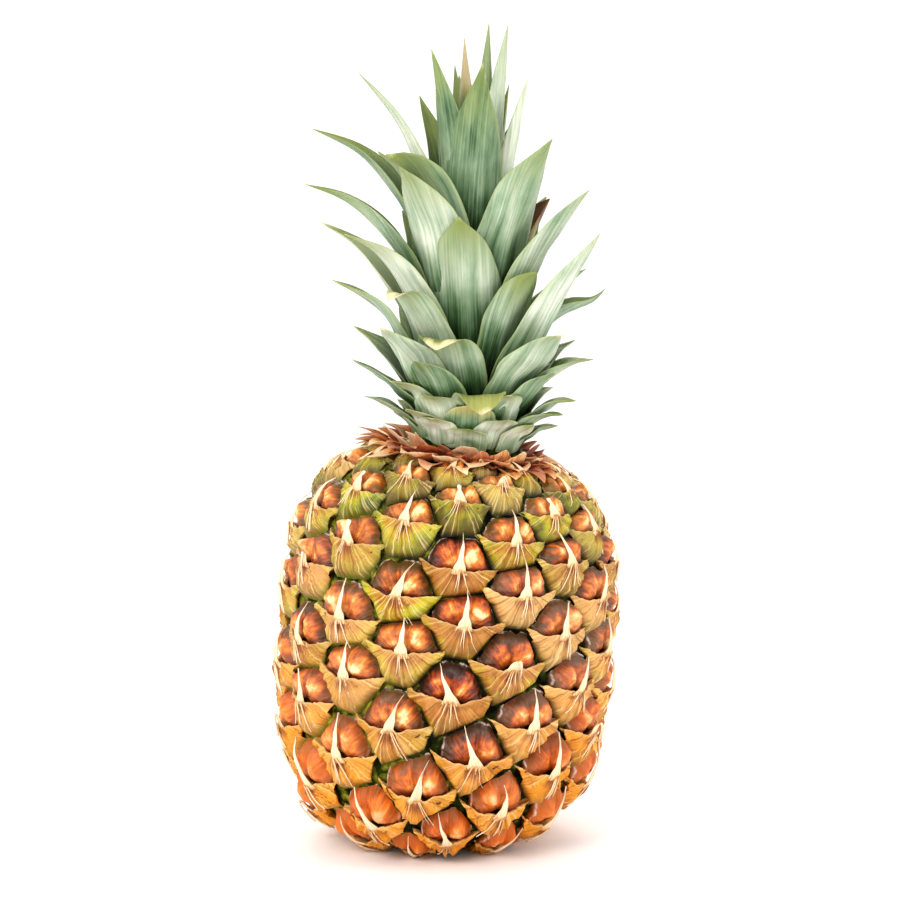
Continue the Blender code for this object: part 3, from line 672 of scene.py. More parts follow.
# %% [markdown]
# ### The tree
# The tree makes the copies real first and then moves their vertices, as each one bends in its own way. It
# roughens the flat eye, gauges how near a vertex is to its grooves, shrinks what would pass one, sinks the
# border, and lays the eye on the turned skin and then on the leaning axis. A Lattice or a Curve modifier
# could bend one eye, but a tree bends all of them and shows each step.

# %% The tree
TREE_INPUTS = {"Points": "Geometry", "Eyes": "Collection", "Meridian": "Object", "Axis": "Object"}
TREE_INPUTS |= dict.fromkeys(("Eye radius", "Groove share", "Wing reach", "Sink"), "Float")
TREE_INPUTS |= {"Roughening": "Float", "Roughening scale": "Float", "Material": "Material"}
COPIES_APART = 0.35
GROOVE_SOFTNESS = 22.0
BORDER_FROM = 0.7
WING_DEPTH = 4.5 * MM
WING_FREEDOM = 2.5
SINK_DEPTH = 0.8 * MM
OFF_THE_FLOOR = 0.3 * MM


def wrapping_tree():
    tree = bpy.data.node_groups.new("eyes_on_the_skin", "GeometryNodeTree")
    for label, kind in TREE_INPUTS.items():
        tree.interface.new_socket(label, in_out="INPUT", socket_type="NodeSocket" + kind)
    tree.interface.new_socket("Mesh", in_out="OUTPUT", socket_type="NodeSocketGeometry")
    given = add(tree, "NodeGroupInput", out=None)
    mark = {}
    read = {label: kind for label, kind in EYE_MARKS.items() if label != "looks"}
    for label, kind in read.items():
        mark[label] = add(tree, "GeometryNodeInputNamedAttribute", {"Name": label}, data_type=kind)
    kinds = add(tree, "GeometryNodeCollectionInfo", {
        "Collection": given["Eyes"], "Separate Children": True, "Reset Children": True})
    copies = add(tree, "GeometryNodeInstanceOnPoints", {
        "Points": given["Points"], "Instance": kinds, "Pick Instance": True, "Instance Index": mark["kind"]})
    real = add(tree, "GeometryNodeRealizeInstances", {0: copies})

    flat = add(tree, "GeometryNodeInputPosition")
    apart = add(tree, "ShaderNodeMath", {0: mark["chance"], 1: COPIES_APART}, operation="MULTIPLY")
    moved = add(tree, "ShaderNodeVectorMath", {0: flat, 1: apart}, operation="ADD")
    rough = add(tree, "ShaderNodeTexNoise", {
        "Vector": moved, "Scale": given["Roughening scale"], "Detail": 2.0}, out="Color")
    shift = add(tree, "ShaderNodeVectorMath", {0: rough, 1: (0.5, 0.5, 0.5)}, operation="SUBTRACT")
    shift = add(tree, "ShaderNodeVectorMath", {0: shift, "Scale": given["Roughening"]}, operation="SCALE")
    flat = add(tree, "ShaderNodeVectorMath", {0: flat, 1: shift}, operation="ADD")

    gauge = 0.0
    for label in PLANES:
        reach = add(tree, "ShaderNodeVectorMath", {0: flat, 1: mark[label]}, out="Value",
                    operation="DOT_PRODUCT")
        gauge = add(tree, "ShaderNodeMath", {0: reach, 1: gauge}, operation="MAXIMUM")
    part = add(tree, "ShaderNodeSeparateXYZ", {0: flat}, out=None)
    from_hinge = add(tree, "ShaderNodeMath", {0: part["Y"]}, operation="ABSOLUTE")
    wing = add(tree, "ShaderNodeMapRange", {
        "Value": from_hinge, "From Max": WING_DEPTH, "To Min": given["Wing reach"], "To Max": 0.0},
        interpolation_type="SMOOTHSTEP")
    room = add(tree, "ShaderNodeMath", {0: wing, 1: given["Groove share"]}, operation="ADD")
    over = add(tree, "ShaderNodeMath", {0: gauge, 1: room}, operation="DIVIDE")
    shrink = over
    for operation, by in (("POWER", GROOVE_SOFTNESS), ("ADD", 1.0), ("POWER", -1.0 / GROOVE_SOFTNESS)):
        shrink = add(tree, "ShaderNodeMath", {0: shrink, 1: by}, operation=operation)
    held = add(tree, "ShaderNodeMath", {0: over, 1: shrink}, operation="MULTIPLY")
    border = add(tree, "ShaderNodeMapRange", {
        "Value": held, "From Min": BORDER_FROM, "To Max": given["Sink"]}, interpolation_type="SMOOTHSTEP")
    free = add(tree, "ShaderNodeMath", {0: wing, 1: WING_FREEDOM}, operation="MULTIPLY")
    border = add(tree, "ShaderNodeMath", {0: border, 1: free}, operation="SUBTRACT", use_clamp=True)

    across = add(tree, "ShaderNodeMath", {0: part["X"], 1: shrink}, operation="MULTIPLY")
    up = add(tree, "ShaderNodeMath", {0: part["Y"], 1: shrink}, operation="MULTIPLY")
    rise = add(tree, "ShaderNodeMix", {0: border, 2: part["Z"], 3: -SINK_DEPTH})
    rise = add(tree, "ShaderNodeMath", {0: rise, 1: mark["size"]}, operation="MULTIPLY")
    turn = add(tree, "ShaderNodeMath", {0: across, 1: given["Eye radius"]}, operation="DIVIDE")
    turn = add(tree, "ShaderNodeMath", {0: turn, 1: mark["turn"]}, operation="ADD")
    quarter_back = add(tree, "ShaderNodeMath", {0: turn, 1: 0.5 * math.pi}, operation="SUBTRACT")
    distance = add(tree, "ShaderNodeMath", {0: up, 1: mark["stretch"], 2: mark["distance"]},
                   operation="MULTIPLY_ADD")

    line = add(tree, "GeometryNodeObjectInfo", {"Object": given["Meridian"]}, out="Geometry")
    skin = add(tree, "GeometryNodeSampleCurve", {"Curves": line, "Length": distance}, out=None, mode="LENGTH")
    outward = add(tree, "ShaderNodeVectorMath", {0: skin["Tangent"], 1: (0.0, -1.0, 0.0)},
                  operation="CROSS_PRODUCT")
    lifted = add(tree, "ShaderNodeVectorMath", {0: outward, "Scale": rise}, operation="SCALE")
    upright = add(tree, "ShaderNodeVectorMath", {0: skin["Position"], 1: lifted}, operation="ADD")
    upright = add(tree, "ShaderNodeVectorRotate", {"Vector": upright, "Angle": quarter_back},
                  rotation_type="Z_AXIS")

    part = add(tree, "ShaderNodeSeparateXYZ", {0: upright}, out=None)
    height = add(tree, "ShaderNodeMath", {0: part["Z"], 1: 0.0}, operation="MAXIMUM")
    line = add(tree, "GeometryNodeObjectInfo", {"Object": given["Axis"]}, out="Geometry")
    axis = add(tree, "GeometryNodeSampleCurve", {"Curves": line, "Length": height}, out=None, mode="LENGTH")
    sideways = add(tree, "ShaderNodeVectorMath", {0: (0.0, 1.0, 0.0), 1: axis["Tangent"]},
                   operation="CROSS_PRODUCT")
    place = add(tree, "ShaderNodeVectorMath", {0: sideways, "Scale": part["X"]}, operation="SCALE")
    depth = add(tree, "ShaderNodeCombineXYZ", {"Y": part["Y"]})
    above_floor = (-1.0, -1.0, OFF_THE_FLOOR)
    for more, operation in ((axis["Position"], "ADD"), (depth, "ADD"), (above_floor, "MAXIMUM")):
        place = add(tree, "ShaderNodeVectorMath", {0: place, 1: more}, operation=operation)

    marked = add(tree, "GeometryNodeStoreNamedAttribute", {
        "Geometry": real, "Name": "border", "Value": border}, data_type="FLOAT", domain="POINT")
    wrapped = add(tree, "GeometryNodeSetPosition", {"Geometry": marked, "Position": place})
    finished = add(tree, "GeometryNodeSetMaterial", {"Geometry": wrapped, "Material": given["Material"]})
    add(tree, "NodeGroupOutput", {0: finished}, out=None)
    return tree


WRAPPING = wrapping_tree()
print("the wrapping tree has", len(WRAPPING.nodes), "nodes")

# %% [markdown]
# ### Running the tree
# A modifier would stay live on each piece, but the guides and the flat kinds have to go, so the result is
# kept as a plain mesh and the modifier is taken off.

# %% Running the tree
ROUGHENING = 1.0 * MM
ROUGHENING_SCALE = 190.0


def grow(obj, tree, values):
    """Runs a Geometry Nodes tree on an object and keeps the result as a plain mesh."""
    modifier = obj.modifiers.new("grow", "NODES")
    modifier.node_group = tree
    for socket in tree.interface.items_tree:
        if socket.in_out == "INPUT" and socket.name in values:
            modifier[socket.identifier] = values[socket.name]
    graph = bpy.context.evaluated_depsgraph_get()
    made = bpy.data.meshes.new_from_object(obj.evaluated_get(graph))
    obj.modifiers.clear()
    obj.data = made
    made.name = obj.name


def eyes(name, make, kinds, kind_of, material, sizes):
    """All the eyes' pieces of one sort: makes its kinds, wraps one at each eye, and removes the kinds."""
    made = [make(kind) for kind in range(kinds)]
    shelf = bpy.data.collections.new(name + "_kinds")
    for kind in made:
        shelf.objects.link(kind)
        bpy.context.scene.collection.objects.unlink(kind)
    piece = eye_points(name, kind_of)
    values = {"Eyes": shelf, "Meridian": meridian_guide, "Axis": axis_guide, "Material": material}
    values |= {"Eye radius": EYE_RADIUS, "Roughening": ROUGHENING, "Roughening scale": ROUGHENING_SCALE}
    grow(piece, WRAPPING, values | sizes)
    for kind in made:
        bpy.data.objects.remove(kind)
    bpy.data.collections.remove(shelf)
    print(name, sum(len(face.vertices) - 2 for face in piece.data.polygons), "triangles")
    return piece


# %% [markdown]
# ## Painting with marks
# Every skin here is painted in the same way: a base colour from a ramp, steered by a sum of patterns and
# marks, then coats over it, each where something calls for it, and a relief of the finest pattern. A painted
# image could do that for one fruit, but marks and noise fit each piece that they are given. Patterns are
# counted in the flat millimetres that the marks hold, so a scale of 0.34 is one wave in 3 mm.

# %% Painting helpers
VECTOR_MARKS = ("flat", "looks", "leaf_place")


def read_marks(tree, *labels):
    """The marks that a piece carries, as sockets, and the X, Y and Z of those that are vectors."""
    mark = {}
    for label in labels:
        vector = label in VECTOR_MARKS
        out = "Vector" if vector else "Fac"
        mark[label] = add(tree, "ShaderNodeAttribute", out=out, attribute_name=label)
        if vector:
            parts = add(tree, "ShaderNodeSeparateXYZ", {0: mark[label]}, out=None)
            mark |= {f"{label} {part.name}": part for part in parts}
    return mark


def stretched_noise(tree, place, stretch, shift=(0.0, 0.0, 0.0), **settings):
    """Noise whose waves are drawn out along fibres: stretch is in waves to a unit of the place."""
    place = add(tree, "ShaderNodeVectorMath", {0: place, 1: stretch, 2: shift}, operation="MULTIPLY_ADD")
    return add(tree, "ShaderNodeTexNoise", {"Vector": place, "Detail": 3.0, **settings})


def patchy_noise(tree, mark, apart, scale, detail):
    """Noise over the flat piece, moved by each eye's chance, so that no two eyes have the same patches."""
    place = add(tree, "ShaderNodeVectorMath", {0: mark["chance"], 1: apart, 2: mark["flat"]},
                operation="MULTIPLY_ADD")
    return add(tree, "ShaderNodeTexNoise", {"Vector": place, "Scale": scale, "Detail": detail})


def fanned_fibres(tree, mark, way, root, **settings):
    """Fibres that run out from a root below the piece, way 1, or above it, way -1."""
    from_root = add(tree, "ShaderNodeMath", {0: mark["flat Y"], 1: way, 2: root}, operation="MULTIPLY_ADD")
    bearing = add(tree, "ShaderNodeMath", {0: mark["flat X"], 1: from_root}, operation="ARCTAN2")
    fan = add(tree, "ShaderNodeCombineXYZ", {"X": bearing, "Y": mark["chance"]})
    return add(tree, "ShaderNodeTexNoise", {"Vector": fan, **settings})


def place_on_fruit(tree):
    """The place across, and the height less a share of the distance sideways, which says where it ripened."""
    place = add(tree, "ShaderNodeTexCoord", out="Object")
    place = add(tree, "ShaderNodeSeparateXYZ", {0: place}, out=None)
    aside = add(tree, "ShaderNodeMath", {0: place["X"]}, operation="ABSOLUTE")
    low = add(tree, "ShaderNodeMath", {0: aside, 1: -0.6, 2: place["Z"]}, operation="MULTIPLY_ADD")
    return place["X"], low


def base_tone(tree, low, high, parts):
    """A tone from 0 to 1: the sum of patterns and marks, each with its weight, between low and high."""
    total = 0.0
    for part, weight in parts:
        total = add(tree, "ShaderNodeMath", {0: part, 1: weight, 2: total}, operation="MULTIPLY_ADD")
    return add(tree, "ShaderNodeMapRange", {"Value": total, "From Min": low, "From Max": high})


def coats(tree, colour, rows):
    """Lays coats over a colour. Each has what steers it, its start, where it is full, its cover and paint."""
    for steer, start, full, cover, paint in rows:
        share = add(tree, "ShaderNodeMapRange", {
            "Value": steer, "From Min": start, "From Max": full, "To Max": cover})
        paint = linear(paint) if isinstance(paint, str) else paint
        colour = add(tree, "ShaderNodeMix", {0: share, 6: colour, 7: paint}, out=2, data_type="RGBA")
    return colour


def finish_skin(tree, shader, colour, *reliefs):
    """Gives a shader its colour and its reliefs: the pattern, depth and strength of each."""
    below = {}
    for pattern, depth, strength in reliefs:
        bump = add(tree, "ShaderNodeBump", {
            "Height": pattern, "Distance": depth, "Strength": strength, **below})
        below = {"Normal": bump}
    tree.links.new(colour, shader.inputs["Base Color"])
    tree.links.new(bump, shader.inputs["Normal"])


# %% [markdown]
# ## What the rind is made of
# The rind is waxy plant skin. A dome is cream or peach where its two pillows face the light, which is a
# painted highlight, orange-red round them, and red-brown to purple near the top, partly its own colour and
# partly painted shade. A painted shadow lies under the bract's edge, painted shade darkens the dome's steep
# side into the groove, and the dome's dry rim is a pale pinkish grey. The bracts are peach in the middle,
# with a red-brown stain under the tip, ochre to yellow-green on the wings, and olive at the foot, which is
# partly painted shade; a painted highlight runs along the upper edge, and painted shade makes the seams dark.
# The tips are dry, nearly white. All of these follow the eye, so the materials read each point's flat place
# in millimetres, how near it is to the groove, and how its eye looks.

# %% Materials of the rind
def rind_of_domes():
    """Waxy plant skin: a soft sheen and a painted highlight on the pillows, painted shade near the rim, and a
    dry dull rim.
    """
    material, tree, shader = principled("waxy_rind", 0.4)
    mark = read_marks(tree, "flat", "looks", "chance", "rim", "out", "lobe")
    patches = patchy_noise(tree, mark, (173.0, 91.0, 57.0), 0.34, 5.0)
    fibres = fanned_fibres(tree, mark, 1.0, 4.0, Scale=11.0, Detail=4.0)
    # Painted highlight and shade: the lobe mark lightens the pillows to cream, and the share out darkens the
    # dome towards its rim, partly its own red-brown and partly painted shade.
    tone = base_tone(tree, 0.96, 2.12, (
        (mark["out"], 1.0), (mark["lobe"], -0.62), (patches, 1.7), (fibres, 0.7), (mark["looks X"], 0.55)))
    colour = add(tree, "ShaderNodeValToRGB", {0: tone}, stops=(
        (0.0, "#FFE6B4"), (1.0, "#2A0E14"), (0.16, "#F9C280"), (0.32, "#E78A34"), (0.48, "#D06628"),
        (0.64, "#A64020"), (0.82, "#642420")))
    crinkle = add(tree, "ShaderNodeMath", {0: mark["rim"], 1: fibres}, operation="MULTIPLY")
    _, low = place_on_fruit(tree)
    colour = coats(tree, colour, (
        (mark["looks Y"], 0.0, 2.0, 0.6, "#C99A34"),
        # Paleness, looks Z: partly a real pale tone and partly painted light on eyes that catch more light.
        (mark["looks Z"], 0.0, 1.0, 0.15, "#F6BC8E"),
        (low, 46.0 * MM, -4.0 * MM, 0.7, "#E8780A"),
        # Painted shadow: a dark red-brown band along the hinge, under the bract's edge.
        (mark["flat Y"], 1.9, -0.4, 0.8, "#5E1A0C"),
        # Painted shade: near black on the dome's steep side down into the groove.
        (mark["out"], 0.92, 0.99, 1.0, "#1E0F08"),
        (crinkle, 0.3, 0.5, 0.9, "#DCC4BA"),
    ))
    finish_skin(tree, shader, colour, (fibres, 0.8 * MM, 0.9))
    return material


def rind_of_bracts():
    """Fibrous leaf skin, duller than a dome: pale and dark fibres that fan out from the tip's root, painted
    shade in the seams.
    """
    material, tree, shader = principled("fibrous_bract", 0.5)
    mark = read_marks(tree, "flat", "looks", "chance", "rim", "border")
    patches = patchy_noise(tree, mark, (131.0, 77.0, 41.0), 0.2, 4.0)
    fibres = fanned_fibres(tree, mark, -1.0, 3.0, Scale=13.0, Detail=5.0, Roughness=0.65)
    aside = add(tree, "ShaderNodeMath", {0: mark["flat X"]}, operation="ABSOLUTE")
    tone = base_tone(tree, 0.8, 2.0, (
        (aside, 0.036), (mark["flat Y"], -0.03), (patches, 1.0), (fibres, 0.5), (mark["looks Y"], 0.78)))
    colour = add(tree, "ShaderNodeValToRGB", {0: tone}, stops=(
        (0.0, "#F0B672"), (1.0, "#425C1A"), (0.2, "#DC9444"), (0.38, "#C2761E"), (0.54, "#C4920E"),
        (0.7, "#C6B60E"), (0.86, "#94A010")))
    across, low = place_on_fruit(tree)
    low = add(tree, "ShaderNodeMath", {0: patches, 1: -50.0 * MM, 2: low}, operation="MULTIPLY_ADD")
    foot = add(tree, "ShaderNodeMath", {0: patches, 1: 9.0, 2: mark["flat Y"]}, operation="MULTIPLY_ADD")
    from_root = add(tree, "ShaderNodeVectorMath", {
        0: mark["flat"], 1: (0.24, 0.3, 0.0), 2: (0.0, 0.78, 0.0)}, operation="MULTIPLY_ADD")
    far = add(tree, "ShaderNodeVectorMath", {0: from_root}, out="Value", operation="LENGTH")
    far = add(tree, "ShaderNodeMath", {0: fibres, 1: 1.6, 2: far}, operation="MULTIPLY_ADD")
    # Painted shade: the seams where the bract sinks into the groove are nearly black, a little green to the
    # left.
    seam = coats(tree, linear("#171306"), [(across, -12.0 * MM, -42.0 * MM, 0.8, "#8A8E22")])
    colour = coats(tree, colour, (
        (mark["chance"], 0.0, 1.0, 0.52, "#8A5A16"),
        # Paleness, looks Z: partly a real pale tone and partly painted light on eyes that catch more light.
        (mark["looks Z"], 0.0, 1.0, 0.68, "#F8C482"),
        (low, 26.0 * MM, -20.0 * MM, 0.95, "#F29C0A"),
        # Olive foot: partly the bract's own green and partly painted shade, darker where it sinks towards the
        # groove.
        (foot, -1.5, -11.0, 0.85, "#5A5216"),
        (far, 2.0, 1.0, 0.8, "#7C2E14"),
        (fibres, 0.48, 0.3, 0.8, "#70381A"),
        (fibres, 0.54, 0.66, 0.75, "#F6D798"),
        # Painted highlight: a pale line along the bract's free upper edge.
        (mark["rim"], 0.0, 1.0, 0.45, "#F4D698"),
        # Painted shade in the seams, by the border mark.
        (mark["border"], 0.3, 0.85, 1.0, seam),
    ))
    finish_skin(tree, shader, colour, (fibres, 0.6 * MM, 0.8))
    return material


def dry_tip_paper():
    """Dry papery tissue, nearly white with brown at its root, without any sheen."""
    material, tree, shader = principled("dry_papery_tip", 0.6)
    mark = read_marks(tree, "flat", "chance")
    shift = add(tree, "ShaderNodeVectorMath", {0: mark["chance"], 1: (9.0, 31.0, 0.0)}, operation="MULTIPLY")
    fibres = stretched_noise(tree, mark["flat"], (2.4, 0.2, 1.0), shift, Scale=1.0)
    tone = base_tone(tree, 0.35, 1.1, ((fibres, 1.0), (mark["flat Y"], 0.06)))
    colour = add(tree, "ShaderNodeValToRGB", {0: tone}, stops=(
        (0.0, "#A05A28"), (1.0, "#FBE6C6"), (0.2, "#D69A60"), (0.45, "#EFCDA0")))
    finish_skin(tree, shader, colour, (fibres, 0.3 * MM, 0.5))
    return material


# %% [markdown]
# ## The eyes
# Three runs of the same tree make all domes, all bracts and all tips. The kinds are dealt out by a seeded
# draw, so that no two neighbours need look alike, and the tips that the photograph shows plainly are given.

# %% Grow the eyes
TIPS_SEEN = {
    16: 1, 21: 1, 29: 2, 34: 0, 37: 1, 42: 2, 45: 0, 50: 1, 53: 2, 55: 0, 58: 3, 63: 0, 66: 5, 71: 0, 74: 2,
    76: 2, 79: 0, 84: 0, 87: 1, 92: 0, 97: 0, 105: 4,
}


def dealt(kinds, seed, seen):
    """A rule that gives each eye one of some kinds, by a seeded draw, but for those that were seen."""
    chance = random.Random(seed)
    drawn = {number: chance.randrange(kinds) for number in EYES}
    return (drawn | seen).get


domes = eyes("eye_domes", dome, DOME_KINDS, dealt(DOME_KINDS, 3, {}), rind_of_domes(),
             {"Groove share": 1.01, "Wing reach": 0.0, "Sink": 1.0})
bracts = eyes("eye_bracts", bract, BRACT_KINDS, dealt(BRACT_KINDS, 4, {}), rind_of_bracts(),
              {"Groove share": 1.07, "Wing reach": 0.28, "Sink": 1.0})
tips = eyes("bract_tips", tip, len(TIP_PATHS), dealt(len(TIP_PATHS), 5, TIPS_SEEN), dry_tip_paper(),
            {"Groove share": 1.5, "Wing reach": 0.0, "Sink": 0.0})

# %% [markdown]
# ## The flesh between the eyes
# Under the eyes lies the fused flesh of the fruit, seen only in the grooves. It is dark green, painted nearly
# black as shade of the deep grooves. It is one turned body with a socket for the stalk in its foot, leaned
# like the rest. A Screw modifier could turn the outline, but rings that are made point by point can be leaned
# at once, with a fine ripple so that it isn't a bare barrel.

# %% The flesh
FLESH_SINK = 0.3 * MM
FLESH_SIDES = 160
HEEL_RADIUS = 20.0 * MM
SOCKET_RADIUS = 11.8 * MM
SOCKET_TOP = 9.3 * MM
NECK_RADIUS = 25.6 * MM
NECK_TOP = 143.6 * MM
RIPPLE_DEPTH = 0.7 * MM
RIPPLE_SCALE = 0.4


def flesh_outline():
    """The turned outline of the flesh, from the socket's roof round the outside to the neck."""
    outline = [(0.0, SOCKET_TOP), (SOCKET_RADIUS, SOCKET_TOP), (SOCKET_RADIUS, 0.0), (HEEL_RADIUS, 0.0)]
    for _, radius, height in MERIDIAN[::4]:
        if radius - FLESH_SINK > (HEEL_RADIUS if height < BELLY_HEIGHT else NECK_RADIUS):
            outline.append((radius - FLESH_SINK, max(height, 0.0)))
    return outline + [(NECK_RADIUS, NECK_TOP), (0.0, NECK_TOP)]


def turned(name, outline, sides, material):
    """A closed turned body round the leaning axis, with both ends on it."""
    shape = bmesh.new()
    rings = []
    for radius, height in outline:
        ring = []
        for side in range(sides if radius > 0.0 else 1):
            turn = 2.0 * math.pi * side / sides
            place = Vector((radius * math.sin(turn), radius * math.cos(turn), height))
            ripple = RIPPLE_DEPTH * noise.noise(place / MM * RIPPLE_SCALE)
            reach = radius + (ripple if HEEL_RADIUS < radius else 0.0)
            point = Vector((reach * math.sin(turn), -reach * math.cos(turn), height))
            ring.append(shape.verts.new(bent(point)))
        rings.append(ring)
    for low, high in zip(rings, rings[1:]):
        for side in range(sides):
            corners = [low[place % len(low)] for place in (side, side + 1)]
            corners += [high[place % len(high)] for place in (side + 1, side)]
            shape.faces.new(list(dict.fromkeys(corners)))
    bmesh.ops.recalc_face_normals(shape, faces=shape.faces)
    mesh = bpy.data.meshes.new(name)
    shape.to_mesh(mesh)
    shape.free()
    mesh.shade_smooth()
    mesh.materials.append(material)
    return in_scene(name, mesh)


def groove_skin():
    """Skin between the eyes: rough, without sheen, dark green with moss-green spots of some 4 mm, painted
    near black as shade.
    """
    material, tree, shader = principled("groove_skin", 0.9, Specular_IOR_Level=0.1)
    place = add(tree, "ShaderNodeTexCoord", out="Object")
    patches = add(tree, "ShaderNodeTexNoise", {"Vector": place, "Scale": 240.0, "Detail": 5.0})
    across = add(tree, "ShaderNodeSeparateXYZ", {0: place}, out="X")
    young = add(tree, "ShaderNodeMapRange", {
        "Value": across, "From Min": 10.0 * MM, "From Max": -50.0 * MM, "To Max": 0.2})
    tone = base_tone(tree, 0.4, 0.86, ((patches, 1.0), (young, 1.0)))
    # Painted shade: the ramp starts near black, for the shade of the deep grooves.
    colour = add(tree, "ShaderNodeValToRGB", {0: tone}, stops=(
        (0.0, "#0B0704"), (1.0, "#9C9A30"), (0.4, "#2C360C")))
    finish_skin(tree, shader, colour, (patches, 1.5 * MM, 0.9))
    return material


flesh = turned("fruit_flesh", flesh_outline(), FLESH_SIDES, groove_skin())
print("flesh", len(flesh.data.polygons), "faces")

# %% [markdown]
# ## The stalk's cut end
# The stalk was cut flush with the fruit's foot. Its solid is already the right plug, so it stays, and gets
# the look of cut plant fibre: pale tan, with the ends of the vessels as darker specks.

# %% Stalk material
def cut_fibre():
    """Cut plant fibre: dull, with vessel ends about 1 mm apart as dark specks."""
    material, tree, shader = principled("cut_stalk_fibre", 0.85)
    place = add(tree, "ShaderNodeTexCoord", out="Object")
    specks = add(tree, "ShaderNodeTexVoronoi", {"Vector": place, "Scale": 900.0}, out="Distance")
    patches = add(tree, "ShaderNodeTexNoise", {"Vector": place, "Scale": 160.0, "Detail": 3.0})
    tone = base_tone(tree, 0.0, 1.0, ((patches, 1.0), (specks, 0.6)))
    colour = add(tree, "ShaderNodeValToRGB", {0: tone}, stops=(
        (0.3, "#5C4020"), (0.95, "#D9BE8A"), (0.6, "#A98350")))
    finish_skin(tree, shader, colour, (specks, 0.3 * MM, 1.0))
    return material


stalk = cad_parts["stalk_end"]
stalk.data.materials.clear()
stalk.data.materials.append(cut_fibre())
print("stalk", [round(side / MM) for side in stalk_high - stalk_low], "mm")

# %% [markdown]
# ## Blades
# The crown's leaves and the collar's bracts are all blades: they leave the axis at a foot, lean out, clasp
# the stem at their root and taper to a point. A flat plane with a Simple Deform could bend one, but each
# leaf has its own bend, so a loft along its own line is plainer. The line goes through the stations of the
# leaf's solid, and the loft adds what the solid leaves out: a curved gutter, a thin edge, ripples and a
# twist.

# %% One blade
LEAF_BEND = 1.5
BLADE_STATIONS = (
    (18, (0.0, 0.5, 1.0)),
    (44, (0.0, 0.35, 0.7, 1.0)),
    (76, (0.0, 0.25, 0.5, 0.75, 1.0)),
    (200, (0.0, 0.2, 0.4, 0.6, 0.8, 1.0)),
)
BLADE_UNEVEN = 0.07
BLADE_RIPPLE = 0.09
BLADE_KEEL = 0.05
KEEL_WIDTH = 0.12
EDGE_THINNING = 0.75


def blade_line(turn, radius, foot, length, leans, root, stations, sway=0.0):
    """Rows along a blade on the upright plant: place, under side's normal, how upright it is, and share."""
    outward = Vector((math.sin(turn), -math.cos(turn), 0.0))
    right = Vector((math.cos(turn), math.sin(turn), 0.0))
    lean = math.radians(leans[0])
    place = outward * (radius - root * math.sin(lean)) + Vector((0.0, 0.0, foot - root * math.cos(lean)))
    rows = []
    for share, following in zip(stations, stations[1:] + (1.0,)):
        lean = math.radians(leans[0] + (leans[1] - leans[0]) * share**LEAF_BEND)
        swing = sway * share**LEAF_BEND
        direction = outward * math.sin(lean) + Vector((0.0, 0.0, math.cos(lean)))
        direction = direction * math.cos(swing) + right * math.sin(swing)
        under = outward * math.cos(lean) - Vector((0.0, 0.0, math.sin(lean)))
        rows.append((*place, *under, math.cos(lean), share))
        place = place + direction * (length + root) * (following - share)
    return rows


def curl_over(place, under, side, share, curl, start):
    """Bends the end of a line over towards its under side: the further past start, the more."""
    angles = math.radians(curl) * smooth(start, 1.0, share)
    curled = [place[0]]
    for step in range(1, len(place)):
        turn = Matrix.Rotation(float(angles[step]), 3, Vector(side[step]))
        curled.append(curled[-1] + np.array(turn @ Vector(place[step] - place[step - 1])))
        under[step] = turn @ Vector(under[step])
    return np.array(curled), under


def bent_grid(grid):
    """A grid of points moved from the upright plant to the leaning one."""
    flat = [bent(Vector(point)) for point in grid.reshape(-1, 3)]
    return np.array(flat).reshape(grid.shape)


def blade(rows, width, outline, channel, thickness, steps, columns, seed, length, looks, curl=0.0, start=0.7):
    """A closed blade lofted along its line. Marks: its place on the leaf, and how the leaf looks."""
    line = along(rows, steps)
    place = line[:, 0:3]
    ahead = np.gradient(place, axis=0)
    ahead /= np.linalg.norm(ahead, axis=1, keepdims=True)
    under = line[:, 3:6] - ahead * np.sum(line[:, 3:6] * ahead, axis=1, keepdims=True)
    under /= np.linalg.norm(under, axis=1, keepdims=True)
    side = np.cross(ahead, under)
    share = np.clip(line[:, 7], 0.0, 1.0)
    half = 0.5 * width * np.interp(share, *outline)
    reach = np.maximum(np.hypot(place[:, 0], place[:, 1]), half)
    wrap = 0.5 * half * np.maximum(line[:, 6], 0.0) / reach
    if curl:
        place, under = curl_over(place, under, side, share, curl, start)
    arc = 2.0 * np.maximum(wrap, math.radians(channel))[:, None]
    across = np.linspace(-1.0, 1.0, columns)[None, :]
    half = (half * (1.0 + BLADE_UNEVEN * grain(4.0 * share + seed, 0 * share, seed)))[:, None]
    far = share[:, None]
    sideways = half * np.sin(arc * across) / arc
    rise = half * (1.0 - np.cos(arc * across)) / arc
    ripple = BLADE_RIPPLE * half * grain(across * 1.6, far * 4.0, seed)
    keel = BLADE_KEEL * half * np.exp(-((across / KEEL_WIDTH) ** 2)) * (1.0 - far)
    points = place[:, None, :] + side[:, None, :] * sideways[:, :, None]
    points = points - under[:, None, :] * (rise + ripple - keel)[:, :, None]
    thick = 0.5 * thickness * (1.0 - EDGE_THINNING * across**2) * np.minimum(1.0, 0.12 + 3.0 * (1.0 - far))
    skin = under[:, None, :] * thick[:, :, None]
    flat = np.broadcast_arrays(across * half / MM, far * length / MM, 0 * across + seed)
    leaf_place = np.stack(flat, axis=-1)
    edge = np.broadcast_to(np.abs(across), leaf_place.shape[:2])
    way = np.broadcast_to(far, leaf_place.shape[:2])
    looks = np.broadcast_to(np.array(looks, float), leaf_place.shape)
    outer, inner = bent_grid(points + skin), bent_grid(points - skin)
    return shell(outer, inner, leaf_place=leaf_place, edge=edge, way=way, looks=looks)


# %% [markdown]
# ## The crown
# Eighty leaves climb a short stem on one spiral, 5/13 of a turn apart, from low scales at the collar to the
# tall leaves of the heart. Each could be set by hand, but a rule is less to keep: tables give a leaf's
# length, width and lean from its place on the stem. Only the leaves that stand out in the photograph have
# their own measures, which are their solid's or near them.

